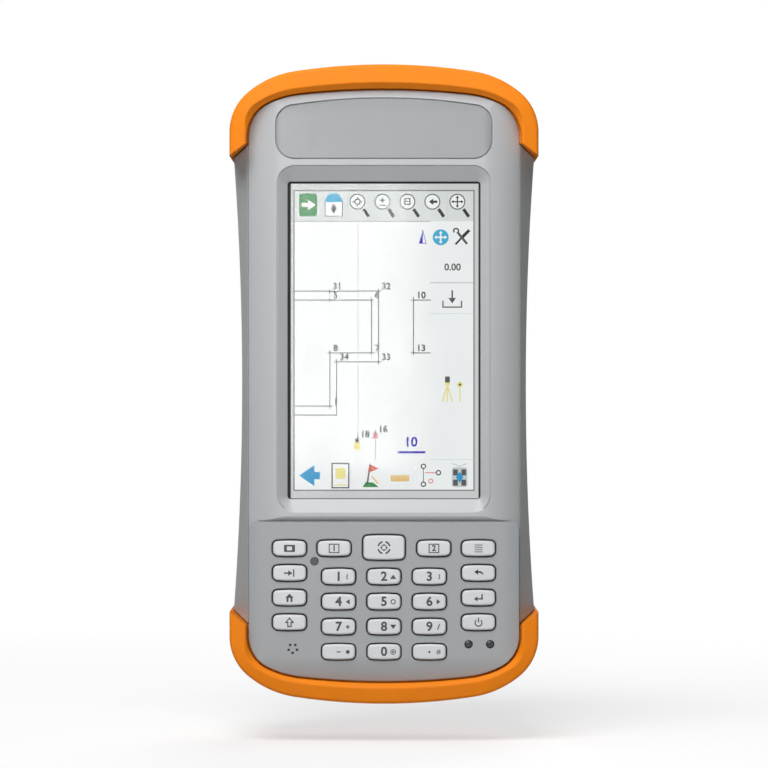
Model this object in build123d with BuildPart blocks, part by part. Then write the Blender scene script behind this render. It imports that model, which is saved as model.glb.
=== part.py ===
from build123d import *
import os
from math import asin, degrees, radians, sin, tan

# Handheld field data collector. X runs to the user's right, Y from the screen to the back, Z up.
# The origin is the bottom centre of the bounding box, and lengths are in millimetres.
# A "depth" is measured along Y from the plane that touches the front of both bumpers.

# Overall outline, seen from the front
length = 198.6
overall_depth = 50.4
cover_half_width = 42.25  # front cover, seam to seam
waist_half_width = 44.4  # case, half way up
hip_half_width = 47.2  # case, where the bumpers start
bumper_half_width = 48.0
bumper_end_z = 24.2  # where a bumper's slanted end meets the cover
bumper_end_slant = 37.0  # degrees
bumper_wall = 7.9  # bumper thickness at the middle of the top end
ridge_half_width = 43.5  # crest along the front of each bumper
ridge_end = 5.4
cover_drop, ridge_drop = 1.2, 0.8  # how much nearer its end each of them comes at the bottom

# Each end of an outline is an arch of three arcs: (crown radius, crown turn, shoulder radius, shoulder turn)
cover_arch = (231.0, 6.5, 30.0, 20.0)
ridge_arch = (206.0, 7.7, 29.8, 25.6)
bumper_arch = (182.0, 8.8, 29.5, 31.2)

# Gaps between pieces
seam = 0.25
tight_seam = 0.08  # round the front case
bumper_gap = 0.45  # at the slanted ends, and along the front of the seam round the cover
line_gap = 0.35
key_gap = 0.45
rest_gap = 0.05  # between pieces that lie on each other

# Depths, front to back
face_depth = 1.6
face_flat, face_drop = 31.0, 4.4  # half width of the flat face, and how far its sides fall away
panel_sink, panel_back = 0.35, 3.0  # the name panel lies a little below the face
bezel_front = 2.1
bezel_flat, bezel_drop = 37.0, 0.9
bezel_back = 3.9
face_back = 5.0
skirt_back = 12.4
housing_front = 13.0
rail_front = face_depth + face_drop  # the side rails carry the roll of the face on
rail_lip = 0.2
flank_half_width, flank_depth = 47.6, 15.0
back_round = 13.0
bumper_shoulder, shoulder_round = 0.9, 1.2  # outer edge of the bumper's front
crest_width = 0.4
bevel_foot = 2.3  # depth of the inner bevel that runs down from the crest
bevel_angle = 42.0
bumper_groove = 6.0  # depth of the open seam between bumper and cover
bumper_back = 40.8
bumper_back_round = 9.0
housing_back = 40.0

# Walls and their rounding
case_wall = 2.0
housing_wall = 2.7
thick_wall = 4.0  # front case where its sides roll back, and the shelf for the keypad bezel
thick_wall_back = 7.4
face_foot_round = 1.4  # where the face rolls down to the keypad
recess_corner, opening_corner = 5.6, 1.0
bezel_corner = 2.5

# Display
screen_z = 112.9
opening_width, opening_height = 60.1, 98.9
gasket_width, gasket_height = 58.5, 98.1
gasket_at = (0.2, 112.7)
recess_width, recess_height, recess_z = 66.5, 107.9, 113.3
recess_floor = 4.0
groove_width, groove_depth = 0.35, 0.55  # fine groove round the recess
glass_front, glass_back = 5.6, 6.7
glass_width, glass_height, glass_corner = 63.4, 103.2, 1.5
lcd_front, lcd_back = 6.9, 10.1
lcd_width, lcd_height, lcd_corner = 61.0, 103.0, 0.8
chassis_back, chassis_thickness = 11.6, 1.2
board_plane, main_board_thickness = 14.5, 1.2

# Keypad
bezel_top = 56.65
key_top = 1.4
flange_front, flange_back = 4.0, 4.6
plunger_back = 6.5
mat_front, mat_back = 5.5, 6.5
dome_front, board_front, board_back = 7.4, 8.0, 9.2
dome_radius, dome_slope = 2.3, 55
board_inset, board_top = 8.3, 54.0
plunger_radius = 1.5
key_round, key_flange = 0.55, 0.9
key_size = (10.2, 4.8)
select_key_size = (12.8, 7.6)
number_pitch_x, number_pitch_z, number_top_z = 14.1, 7.78, 39.45
side_key_x, side_pitch_z, top_row_z = 29.35, 7.66, 48.25
select_key_z = 48.5
program_key_x = 15.5
sensor_at = (-21.6, 44.2)
indicators_at = [(26.3, 18.4), (33.0, 18.4)]
lens_radius, lens_hole = 1.2, 1.3
speaker_at = (-28.35, 17.1)
speaker_radius, speaker_ring, speaker_hole = 2.9, 1.35, 0.4

# Case screws, and the threaded inserts for an accessory bracket
case_screw_x = 38.2
case_screw_z = [31.0, length / 2, length - 31.0]
case_screw_seat, case_screw_reach = 20.0, 12.5
screw_radius, screw_thread_hole, screw_clear_hole = 1.2, 1.25, 1.4
screw_head_radius, screw_head_height = 2.3, 1.8
boss_radius, boss_front = 2.6, 6.0
pillar_radius, small_pillar_radius = 3.9, 3.6
insert_x, insert_z = 28.0, 30.0
insert_length, insert_radius, insert_bore = 6.0, 2.1, 1.25

# Battery bay and its door
bay_half_width, bay_bottom, bay_top = 30.0, 50.0, 128.0
bay_floor = 18.7
bay_wall = 1.5
bay_middle = (bay_bottom + bay_top) / 2
battery_gap = 0.3
door_half_width, door_bottom, door_top, door_corner = 33.5, 38.0, 133.0, 5.0
door_inner, door_floor = 38.0, 37.4
door_middle = (door_bottom + door_top) / 2
fastener_at = [(-24.0, 44.0), (24.0, 44.0)]
fastener_seat, fastener_seat_radius, fastener_hole = 38.8, 4.2, 1.6
tab_x, tab_width = 15.0, 8.0
contacts_depth, contact_pitch, contact_radius = 22.0, 6.0, 0.7

# Hand strap
strap_half_width = 19.0
strap_thickness = 2.4
strap_pin_depth = 46.35
strap_top_z, strap_bottom_z = 152.0, 33.0
pin_radius, loop_bore, loop_radius = 1.25, 1.65, 4.05
bracket_back = 42.0
bracket_screw_x = 13.0
bracket_screw_radius, bracket_head_radius = 1.25, 2.7
top_bracket = (146.5, 169.0, 163.5)  # lower edge, upper edge, height of its screws
bottom_bracket = (17.0, 36.0, 25.0)

# Connector block and its hinged cover, at the bottom end
port_half_width = 22.2
port_front, port_back = 15.2, 29.4
block_width, block_front, block_back = 42.6, 16.2, 27.8
block_mouth, block_top = 4.8, 20.0
socket_depth = 20.6
flap_axis_depth, flap_axis_z = 28.0, 1.9
flap_thickness = 2.2
flap_side_gap = 0.4


def y_at(depth):
    """The Y coordinate of a depth."""
    return depth - overall_depth / 2


def layer(depth):
    """A sketch plane at a depth. It faces the user, so a positive extrusion grows towards the front."""
    return Plane.XZ.offset(-y_at(depth))


# ---------------------------------------------------------------- outlines


def case_outline(half_width, end_gap, arch, bottom_drop=0.0, inset=0.0):
    """Straight sides and two arched ends, end_gap inside the length, with the lower end moved down."""
    crown_radius, crown_turn, shoulder_radius, shoulder_turn = arch
    turned = crown_turn + shoulder_turn
    with BuildSketch() as outline:
        with BuildLine():
            crown = JernArc((0, end_gap), (1, 0), crown_radius, crown_turn)
            shoulder = JernArc(crown @ 1, crown % 1, shoulder_radius, shoulder_turn)
            corner_radius = (half_width - (shoulder @ 1).X) / (1 - sin(radians(turned)))
            corner = JernArc(shoulder @ 1, shoulder % 1, corner_radius, 90 - turned)
            Polyline(corner @ 1, (half_width, length / 2), (0, length / 2), (0, end_gap))
        make_face()
        mirror(about=Plane.YZ)
        mirror(about=Plane.XZ.offset(-length / 2))
        if bottom_drop:
            add(outline.sketch_local.moved(Location((0, -bottom_drop, 0))))
        if inset:
            offset(amount=-inset)
    return outline.sketch


def cover_outline(inset=0.0):
    return case_outline(cover_half_width, bumper_wall, cover_arch, cover_drop, inset)


def ridge_outline(inset=0.0):
    return case_outline(ridge_half_width, ridge_end, ridge_arch, ridge_drop, inset)


def bumper_outline(inset=0.0):
    return case_outline(bumper_half_width, 0.0, bumper_arch, inset=inset)


def below(height, outline):
    """The part of an outline under a height."""
    with BuildSketch() as lower:
        add(outline)
        Rectangle(100, height, align=(Align.CENTER, Align.MIN), mode=Mode.INTERSECT)
    return lower.sketch


def slant_z(x, gap=0.0):
    """Height of the bottom bumper's slanted end at x."""
    return bumper_end_z + gap + (x - cover_half_width) * tan(radians(bumper_end_slant))


def bumper_end():
    """Everything below the slanted ends of the bottom bumper."""
    beyond = 60.0
    with BuildSketch() as region:
        Polygon(
            (-beyond, -1),
            (beyond, -1),
            (beyond, slant_z(beyond)),
            (cover_half_width, bumper_end_z),
            (-cover_half_width, bumper_end_z),
            (-beyond, slant_z(beyond)),
            align=None,
        )
    return region.sketch


def housing_outline():
    """The cover's outline plus the waisted flanks between the bumpers."""
    low_in, low_out = slant_z(cover_half_width, bumper_gap), slant_z(hip_half_width, bumper_gap)
    with BuildSketch() as outline:
        add(cover_outline(seam))
        with BuildLine():
            Polyline((0, low_in), (cover_half_width, low_in), (hip_half_width, low_out))
            ThreePointArc(
                (hip_half_width, low_out),
                (waist_half_width, length / 2),
                (hip_half_width, length - low_out),
            )
            Polyline(
                (hip_half_width, length - low_out),
                (cover_half_width, length - low_in),
                (0, length - low_in),
                (0, low_in),
            )
        make_face()
        mirror(about=Plane.YZ)
    return outline.sketch


def name_panel_outline(grow=0.0):
    """Flat-bottomed panel with a shallow arched top and rounded corners."""
    half_width, bottom, shoulder_z, crown_z = 33.4, 169.5, 185.0, 188.0
    with BuildSketch() as outline:
        with BuildLine():
            ThreePointArc((half_width, shoulder_z), (0, crown_z), (-half_width, shoulder_z))
            Polyline(
                (-half_width, shoulder_z),
                (-half_width, bottom),
                (half_width, bottom),
                (half_width, shoulder_z),
            )
        make_face()
        fillet(outline.vertices(), 5.6)
        if grow:
            offset(amount=grow)
    return outline.sketch


def key_outline(size, grow=0.0):
    """Rounded key whose top and bottom edges bow outwards a little."""
    half_width, half_height = size[0] / 2, size[1] / 2
    bow = 0.3
    with BuildSketch() as outline:
        with BuildLine():
            top = ThreePointArc(
                (-half_width, half_height - bow), (0, half_height), (half_width, half_height - bow)
            )
            right = Line(top @ 1, (half_width, bow - half_height))
            bottom = ThreePointArc(right @ 1, (0, -half_height), (-half_width, bow - half_height))
            Line(bottom @ 1, top @ 0)
        make_face()
        fillet(outline.vertices(), 1.4)
        if grow:
            offset(amount=grow)
    return outline.sketch


def frame_sketch(width, height, rim, corner):
    """A rectangular ring, rim wide."""
    with BuildSketch() as ring:
        RectangleRounded(width, height, corner)
        Rectangle(width - 2 * rim, height - 2 * rim, mode=Mode.SUBTRACT)
    return ring.sketch


def crowned_block(flat_half_width, front, side_drop):
    """A block whose front is flat in the middle and rolls back towards both sides and both ends."""
    end_drop, end_roll = 1.4, 8.0
    side_roll = cover_half_width - flat_half_width
    side_radius = (side_roll**2 + side_drop**2) / (2 * side_drop)
    end_radius = (end_roll**2 + end_drop**2) / (2 * end_drop)
    front_y, back_y = y_at(front), y_at(skirt_back)
    with BuildPart() as block:
        with BuildSketch(Plane.XY):
            with BuildLine():
                flat = Line((0, front_y), (flat_half_width, front_y))
                roll = JernArc(flat @ 1, (1, 0), side_radius, degrees(asin(side_roll / side_radius)))
                Polyline(roll @ 1, (cover_half_width, back_y), (0, back_y), flat @ 0)
            make_face()
            mirror(about=Plane.YZ)
        extrude(amount=length)
        with BuildSketch(Plane.YZ.offset(-cover_half_width)) as side:
            with BuildLine():
                flat = Line((front_y, length / 2), (front_y, length - bumper_wall - end_roll))
                roll = JernArc(flat @ 1, (0, 1), end_radius, -degrees(asin(end_roll / end_radius)))
                Polyline(roll @ 1, (back_y, length - bumper_wall), (back_y, length / 2), flat @ 0)
            make_face()
            mirror(about=Plane.XZ.offset(-length / 2))
            add(side.sketch_local.moved(Location((0, -cover_drop, 0))))
        extrude(amount=2 * cover_half_width, mode=Mode.INTERSECT)
    return block.part


# ---------------------------------------------------------------- key layout

keys = {"key_select": ((0, select_key_z), select_key_size)}
for side, names in ((-1, ["window", "tab", "home", "shift"]), (1, ["menu", "back", "enter", "power"])):
    for row, name in enumerate(names):
        keys[f"key_{name}"] = ((side * side_key_x, top_row_z - row * side_pitch_z), key_size)
for side, name in ((-1, "program_1"), (1, "program_2")):
    keys[f"key_{name}"] = ((side * program_key_x, top_row_z), key_size)
for row, names in enumerate([["1", "2", "3"], ["4", "5", "6"], ["7", "8", "9"], ["minus", "0", "point"]]):
    for column, name in enumerate(names):
        place = ((column - 1) * number_pitch_x, number_top_z - row * number_pitch_z)
        keys[f"key_{name}"] = (place, key_size)
key_places = [place for place, size in keys.values()]

case_screw_places = [(side * case_screw_x, z) for side in (-1, 1) for z in case_screw_z]
insert_places = [(side * insert_x, z) for side in (-1, 1) for z in (insert_z, length - insert_z)]
bracket_screw_places = [
    (side * bracket_screw_x, z) for side in (-1, 1) for z in (bottom_bracket[2], top_bracket[2])
]


# ---------------------------------------------------------------- front of the case

with BuildPart() as front_case:
    with BuildSketch(layer(skirt_back)):
        add(cover_outline(tight_seam))
    extrude(amount=skirt_back)
    add(crowned_block(face_flat, face_depth, face_drop), mode=Mode.INTERSECT)
    with BuildSketch(layer(skirt_back)):
        add(cover_outline(case_wall))
    extrude(amount=skirt_back - thick_wall_back, mode=Mode.SUBTRACT)
    with BuildSketch(layer(thick_wall_back)):
        add(cover_outline(thick_wall))
    extrude(amount=thick_wall_back - face_back, mode=Mode.SUBTRACT)
    # Seat for the keypad bezel, open behind the keys
    with BuildSketch(layer(bezel_back)):
        RectangleRounded(
            2 * cover_half_width, bezel_top + seam, bezel_corner + seam, align=(Align.CENTER, Align.MIN)
        )
    extrude(amount=bezel_back, mode=Mode.SUBTRACT)
    with BuildSketch(layer(face_back)):
        add(below(bezel_top - face_foot_round, cover_outline(thick_wall)))
    extrude(amount=face_back, mode=Mode.SUBTRACT)
    # The lower edge of the face rolls down to the keypad
    with BuildSketch(Plane.YZ.offset(-cover_half_width)):
        with Locations((y_at(face_depth), bezel_top + seam)):
            Rectangle(face_foot_round, face_foot_round, align=(Align.MIN, Align.MIN))
        with Locations((y_at(face_depth) + face_foot_round, bezel_top + seam + face_foot_round)):
            Circle(face_foot_round, mode=Mode.SUBTRACT)
    extrude(amount=2 * cover_half_width, mode=Mode.SUBTRACT)
    # Sloping recess round the display
    with BuildSketch(layer(face_depth)):
        with Locations((0, recess_z)):
            RectangleRounded(recess_width, recess_height, recess_corner)
    with BuildSketch(layer(recess_floor)):
        with Locations((0, screen_z)):
            RectangleRounded(opening_width, opening_height, opening_corner)
    loft(mode=Mode.SUBTRACT)
    with BuildSketch(layer(face_back)):
        with Locations((0, screen_z)):
            RectangleRounded(opening_width, opening_height, opening_corner)
    extrude(amount=face_back, mode=Mode.SUBTRACT)
    # The recess has a fine groove round its top and sides
    with BuildSketch(layer(face_depth + groove_depth)):
        with Locations((0, recess_z)):
            RectangleRounded(recess_width, recess_height, recess_corner)
            RectangleRounded(
                recess_width - 2 * groove_width,
                recess_height - 2 * groove_width,
                recess_corner - groove_width,
                mode=Mode.SUBTRACT,
            )
        with Locations((0, recess_z - recess_height / 2)):
            Rectangle(recess_width, recess_corner / 2, mode=Mode.SUBTRACT)
    extrude(amount=face_depth + groove_depth, mode=Mode.SUBTRACT)
    # Pocket for the name panel
    with BuildSketch(layer(panel_back + rest_gap)):
        add(name_panel_outline(line_gap))
    extrude(amount=panel_back + rest_gap, mode=Mode.SUBTRACT)
    # Screw bosses
    with BuildSketch(layer(skirt_back)):
        with Locations(*case_screw_places):
            Circle(boss_radius)
    extrude(amount=skirt_back - boss_front)
    with BuildSketch(layer(skirt_back)):
        with Locations(*case_screw_places):
            Circle(screw_thread_hole)
    extrude(amount=skirt_back - boss_front - 1.0, mode=Mode.SUBTRACT)

with BuildPart() as name_panel:
    with BuildSketch(layer(panel_back)):
        add(name_panel_outline())
    extrude(amount=panel_back)
    add(crowned_block(face_flat, face_depth + panel_sink, face_drop), mode=Mode.INTERSECT)

with BuildPart() as keypad_bezel:
    with BuildSketch(layer(bezel_back - rest_gap)):
        add(cover_outline(seam))
        RectangleRounded(
            2 * (cover_half_width - seam),
            bezel_top - seam,
            bezel_corner,
            align=(Align.CENTER, Align.MIN),
            mode=Mode.INTERSECT,
        )
    extrude(amount=bezel_back - rest_gap)
    add(crowned_block(bezel_flat, bezel_front, bezel_drop), mode=Mode.INTERSECT)
    with BuildSketch(layer(bezel_back)):
        for place, size in keys.values():
            with Locations(place):
                add(key_outline(size, key_gap))
    extrude(amount=bezel_back, mode=Mode.SUBTRACT)
    key_rims = keypad_bezel.faces().filter_by(Axis.Y).sort_by(Axis.Y)[0].inner_wires()
    chamfer([edge for wire in key_rims for edge in wire.edges()], 0.22)
    with BuildSketch(layer(bezel_back)):
        with Locations(sensor_at, *indicators_at):
            Circle(lens_hole)
        with Locations(speaker_at):
            with PolarLocations(speaker_ring, 5, start_angle=-90):
                Circle(speaker_hole)
    extrude(amount=bezel_back, mode=Mode.SUBTRACT)


# ---------------------------------------------------------------- keypad, front to back


def key_cap(place, size):
    """A key: a filleted cap, a flange that stops it falling out, and a plunger over its dome."""
    with BuildPart() as cap:
        with BuildSketch(layer(flange_front)):
            with Locations(place):
                add(key_outline(size))
        extrude(amount=flange_front - key_top)
        fillet(cap.faces().sort_by(Axis.Y)[0].edges(), key_round)
        with BuildSketch(layer(flange_back)):
            with Locations(place):
                add(key_outline(size, key_flange))
        extrude(amount=flange_back - flange_front)
        with BuildSketch(layer(plunger_back)):
            with Locations(place):
                Circle(plunger_radius)
        extrude(amount=plunger_back - flange_back)
    return cap


with BuildPart() as keypad_mat:
    with BuildSketch(layer(mat_back)):
        add(below(board_top, cover_outline(board_inset)))
        with Locations(*key_places):
            Circle(plunger_radius + 0.25, mode=Mode.SUBTRACT)
        with Locations(sensor_at, *indicators_at):
            Circle(lens_radius + 0.4, mode=Mode.SUBTRACT)
    extrude(amount=mat_back - mat_front)

with BuildPart() as key_domes:
    with BuildSketch(layer(board_front)):
        with Locations(*key_places):
            Circle(dome_radius)
    extrude(amount=board_front - dome_front, taper=dome_slope)

with BuildPart() as keypad_board:
    with BuildSketch(layer(board_back)):
        add(below(board_top, cover_outline(board_inset)))
    extrude(amount=board_back - board_front)
    # Socket for the ribbon to the main board
    ribbon_socket_height = 1.6
    with BuildSketch(layer(board_back + ribbon_socket_height)):
        with Locations((0, board_top - 8)):
            Rectangle(18, 4)
    extrude(amount=ribbon_socket_height)

lens_back = board_front - 0.2

with BuildPart() as sensor_window:
    with BuildSketch(layer(lens_back)):
        with Locations(sensor_at):
            Circle(lens_radius)
    extrude(amount=lens_back - bezel_front - 0.3)

with BuildPart() as indicator_lenses:
    with BuildSketch(layer(lens_back)):
        with Locations(*indicators_at):
            Circle(lens_radius)
    extrude(amount=lens_back - bezel_front - 0.1)
    fillet(indicator_lenses.faces().filter_by(Axis.Y).group_by(Axis.Y)[0].edges(), 0.4)

with BuildPart() as speaker:
    with BuildSketch(layer(mat_front - rest_gap)):
        with Locations(speaker_at):
            Circle(speaker_radius)
    extrude(amount=mat_front - bezel_back - 2 * rest_gap)


# ---------------------------------------------------------------- display stack

with BuildPart() as screen_gasket:
    with BuildSketch(layer(glass_front)):
        with Locations((0, screen_z)):
            RectangleRounded(glass_width, glass_height, glass_corner)
        with Locations(gasket_at):
            Rectangle(gasket_width, gasket_height, mode=Mode.SUBTRACT)
    extrude(amount=glass_front - face_back)

with BuildPart() as cover_glass:
    with BuildSketch(layer(glass_back)):
        with Locations((0, screen_z)):
            RectangleRounded(glass_width, glass_height, glass_corner)
    extrude(amount=glass_back - glass_front)

with BuildPart() as display_module:
    with BuildSketch(layer(lcd_back)):
        with Locations((0, screen_z)):
            RectangleRounded(lcd_width, lcd_height, lcd_corner)
    extrude(amount=lcd_back - lcd_front)
    # Driver circuit on the back
    driver_thickness = 0.15
    with BuildSketch(layer(lcd_back + driver_thickness)):
        with Locations((0, screen_z - 30)):
            RectangleRounded(34.0, 30.0, 1.0)
    extrude(amount=driver_thickness)

with BuildPart() as display_chassis:
    with BuildSketch(layer(chassis_back)):
        with Locations((0, recess_z)):
            RectangleRounded(69.0, 110.0, 3.0)
            with GridLocations(32.0, 34.0, 2, 3):
                RectangleRounded(26.0, 28.0, 3.0, mode=Mode.SUBTRACT)
    extrude(amount=chassis_thickness)

with BuildPart() as main_board:
    with BuildSketch(layer(board_plane)):
        with Locations((0, screen_z - 2)):
            RectangleRounded(67.6, 118.0, 2.0)
    extrude(amount=main_board_thickness)
    # Two square chips and two long ones on the front
    with BuildSketch(layer(board_plane - main_board_thickness)):
        with Locations((-20, 150), (18, 70)):
            Rectangle(12, 12)
        with Locations((12, 150), (-20, 80)):
            Rectangle(16, 6)
    extrude(amount=1.0)

with BuildPart() as shield_cans:
    can_height = 2.1
    with BuildSketch(layer(board_plane + can_height)):
        with Locations((-17, 146), (-17, 112)):
            RectangleRounded(28, 26, 1.0)
        with Locations((17, 140)):
            RectangleRounded(26, 38, 1.0)
    extrude(amount=can_height)
    fillet(shield_cans.faces().filter_by(Axis.Y).group_by(Axis.Y)[-1].edges(), 0.5)

with BuildPart() as satellite_antenna:
    patch_z, patch_back, patch_height, carrier_thickness = 176.8, 9.2, 4.0, 0.8
    with BuildSketch(layer(patch_back)):
        with Locations((0, patch_z)):
            RectangleRounded(18, 17, 0.6)
    extrude(amount=patch_height)
    with BuildSketch(layer(patch_back + carrier_thickness)):
        with Locations((0, patch_z)):
            Rectangle(20, 17.6)
    extrude(amount=carrier_thickness)


# ---------------------------------------------------------------- rear housing

with BuildPart() as housing:
    with BuildSketch(layer(housing_back)):
        add(housing_outline())
    extrude(amount=housing_back - rail_front)
    # Cross-section: flanks that lean out from the front edge, then a hand-friendly rounded back
    with BuildSketch(Plane.XY):
        with BuildLine():
            flank = Polyline(
                (0, y_at(rail_front)),
                (cover_half_width + rail_lip, y_at(rail_front)),
                (flank_half_width, y_at(flank_depth)),
                (flank_half_width, y_at(housing_back - back_round)),
            )
            corner = JernArc(flank @ 1, (0, 1), back_round, 90)
            Polyline(corner @ 1, (0, y_at(housing_back)), flank @ 0)
        make_face()
        mirror(about=Plane.YZ)
    extrude(amount=length, mode=Mode.INTERSECT)
    # Room for the front cover, leaving side rails
    with BuildSketch(layer(housing_front)):
        add(cover_outline())
    extrude(amount=housing_front, mode=Mode.SUBTRACT)
    # Electronics space, then deeper pockets that leave the bay walls and the screw pillars standing
    electronics_back = bay_floor - bay_wall
    with BuildSketch(layer(electronics_back)):
        add(cover_outline(housing_wall))
        with Locations(*case_screw_places):
            Circle(pillar_radius, mode=Mode.SUBTRACT)
    extrude(amount=electronics_back - housing_front, mode=Mode.SUBTRACT)
    for back, front, inset in ((28.0, electronics_back, housing_wall), (34.6, 28.0, 9.5)):
        with BuildSketch(layer(back)):
            add(cover_outline(inset))
            with Locations((0, bay_middle)):
                Rectangle(100, bay_top - bay_bottom + 2 * bay_wall, mode=Mode.SUBTRACT)
            with Locations(*case_screw_places):
                Circle(pillar_radius, mode=Mode.SUBTRACT)
            with Locations(*insert_places, *bracket_screw_places, *fastener_at):
                Circle(small_pillar_radius, mode=Mode.SUBTRACT)
        extrude(amount=back - front, mode=Mode.SUBTRACT)
    # Battery bay and door recess
    with BuildSketch(layer(housing_back)):
        with Locations((0, bay_middle)):
            RectangleRounded(2 * bay_half_width, bay_top - bay_bottom, 2.0)
    extrude(amount=housing_back - bay_floor, mode=Mode.SUBTRACT)
    with BuildSketch(layer(housing_back)):
        with Locations((0, door_middle)):
            RectangleRounded(
                2 * (door_half_width + line_gap), door_top - door_bottom + 2 * line_gap, door_corner
            )
    extrude(amount=housing_back - door_floor, mode=Mode.SUBTRACT)
    # Slots for the door's tabs
    with BuildSketch(layer(door_inner + 1.0)):
        with Locations((-tab_x, door_top), (tab_x, door_top)):
            Rectangle(tab_width + 0.6, 2.2, align=(Align.CENTER, Align.MIN))
    extrude(amount=1.8, mode=Mode.SUBTRACT)
    # Holes, all from the back
    with BuildSketch(layer(door_floor)):
        with Locations(*fastener_at):
            Circle(fastener_hole + 0.4)
    extrude(amount=4.0, mode=Mode.SUBTRACT)
    with BuildSketch(layer(housing_back)):
        with Locations(*case_screw_places):
            Circle(screw_head_radius + 0.3)
    extrude(amount=housing_back - case_screw_seat, mode=Mode.SUBTRACT)
    with BuildSketch(layer(case_screw_seat)):
        with Locations(*case_screw_places):
            Circle(screw_clear_hole)
    extrude(amount=case_screw_seat - housing_front, mode=Mode.SUBTRACT)
    with BuildSketch(layer(housing_back)):
        with Locations(*insert_places):
            Circle(insert_radius + 0.02)
    extrude(amount=insert_length + 0.5, mode=Mode.SUBTRACT)
    with BuildSketch(layer(housing_back)):
        with Locations(*bracket_screw_places):
            Circle(bracket_screw_radius + rest_gap)
    extrude(amount=7.5, mode=Mode.SUBTRACT)
    # Opening for the connector block in the bottom wall, and for the contacts in the bay wall
    with BuildSketch(Plane.XY):
        with Locations((0, y_at((block_front + block_back) / 2))):
            Rectangle(block_width + 1.0, block_back - block_front + 0.8)
    extrude(amount=12.5, mode=Mode.SUBTRACT)
    with BuildSketch(Plane.XY.offset(bay_top - 0.5)):
        with Locations((0, y_at(contacts_depth))):
            with GridLocations(contact_pitch, 1.0, 4, 1):
                Circle(contact_radius + rest_gap)
    extrude(amount=bay_wall + 1.0, mode=Mode.SUBTRACT)

with BuildPart() as case_seal:
    with BuildSketch(layer(housing_front - rest_gap)):
        add(cover_outline(seam))
        add(cover_outline(case_wall), mode=Mode.SUBTRACT)
    extrude(amount=housing_front - skirt_back - 2 * rest_gap)

with BuildPart() as case_screws:
    with BuildSketch(layer(case_screw_seat + screw_head_height)):
        with Locations(*case_screw_places):
            Circle(screw_head_radius)
    extrude(amount=screw_head_height)
    fillet(case_screws.faces().filter_by(Axis.Y).group_by(Axis.Y)[-1].edges(), 0.6)
    with BuildSketch(layer(case_screw_seat)):
        with Locations(*case_screw_places):
            Circle(screw_radius)
    extrude(amount=case_screw_reach)
    with BuildSketch(layer(case_screw_seat + screw_head_height)):
        with Locations(*case_screw_places):
            RegularPolygon(screw_radius, 6)
    extrude(amount=1.1, mode=Mode.SUBTRACT)

with BuildPart() as bracket_inserts:
    with BuildSketch(layer(housing_back)):
        with Locations(*insert_places):
            Circle(insert_radius)
            Circle(insert_bore, mode=Mode.SUBTRACT)
    extrude(amount=insert_length)


# ---------------------------------------------------------------- bumpers

with BuildPart() as bumper_ring:
    with BuildSketch(layer(bumper_back)):
        add(bumper_outline())
    extrude(amount=bumper_back - bumper_shoulder)
    fillet(bumper_ring.faces().sort_by(Axis.Y)[-1].edges(), bumper_back_round)
    # The front rises gently from its rounded outer edge to a narrow crest
    with BuildSketch(layer(bumper_shoulder)):
        add(bumper_outline())
    with BuildSketch(layer(0)):
        add(ridge_outline())
    loft()
    shoulder_y = y_at(bumper_shoulder)
    fillet(bumper_ring.edges().filter_by_position(Axis.Y, shoulder_y, shoulder_y), shoulder_round)
    # Inside, with an open seam and a bevel from the crest down to it
    for back, gap in ((bumper_back, 0), (bumper_groove, bumper_gap)):
        with BuildSketch(layer(back)):
            add(cover_outline(-gap))
        extrude(amount=back, mode=Mode.SUBTRACT)
    bevel_width = bevel_foot * tan(radians(bevel_angle))
    with BuildSketch(layer(bevel_foot)):
        add(ridge_outline(crest_width + bevel_width))
    extrude(amount=bevel_foot + 0.1, taper=-bevel_angle, mode=Mode.SUBTRACT)

with BuildPart() as top_bumper:
    add(bumper_ring.part)
    with BuildSketch(layer(bumper_back)):
        add(mirror(bumper_end(), about=Plane.XZ.offset(-length / 2), mode=Mode.PRIVATE))
    extrude(amount=bumper_back, mode=Mode.INTERSECT)

with BuildPart() as bottom_bumper:
    add(bumper_ring.part)
    with BuildSketch(layer(bumper_back)):
        add(bumper_end())
    extrude(amount=bumper_back, mode=Mode.INTERSECT)
    # Opening for the connectors
    with BuildSketch(Plane.XY):
        with Locations((0, y_at((port_front + port_back) / 2))):
            Rectangle(2 * port_half_width, port_back - port_front)
    extrude(amount=bumper_wall + 3, mode=Mode.SUBTRACT)


# ---------------------------------------------------------------- connectors at the bottom end

with BuildPart() as connector_block:
    mouth_back, body_bottom = 25.0, 11.0
    with BuildSketch(Plane.XY.offset(block_mouth)):
        with Locations((0, y_at((block_front + mouth_back) / 2))):
            RectangleRounded(block_width, mouth_back - block_front, 1.0)
    extrude(amount=body_bottom + 1.0 - block_mouth)
    with BuildSketch(Plane.XY.offset(body_bottom)):
        with Locations((0, y_at((block_front + block_back) / 2))):
            Rectangle(block_width, block_back - block_front)
    extrude(amount=block_top - body_bottom)
    # Full-size and small serial sockets, a power jack and a headset jack
    socket_y = y_at(socket_depth)
    with BuildSketch(Plane.XY.offset(block_mouth)):
        with Locations((10.0, socket_y)):
            Rectangle(13.1, 5.8)
        with Locations((-3.5, socket_y)):
            RectangleRounded(8.0, 3.0, 0.6)
        with Locations((-11.5, socket_y)):
            Circle(1.8)
        with Locations((-17.2, socket_y)):
            Circle(2.9)
    extrude(amount=8.0, mode=Mode.SUBTRACT)
    # Tongues and centre pin
    with BuildSketch(Plane.XY.offset(block_mouth + 0.8)):
        with Locations((10.0, socket_y + 0.9)):
            Rectangle(11.4, 1.8)
        with Locations((-3.5, socket_y)):
            Rectangle(5.6, 0.7)
        with Locations((-17.2, socket_y)):
            Circle(0.9)
    extrude(amount=8.0)

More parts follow.
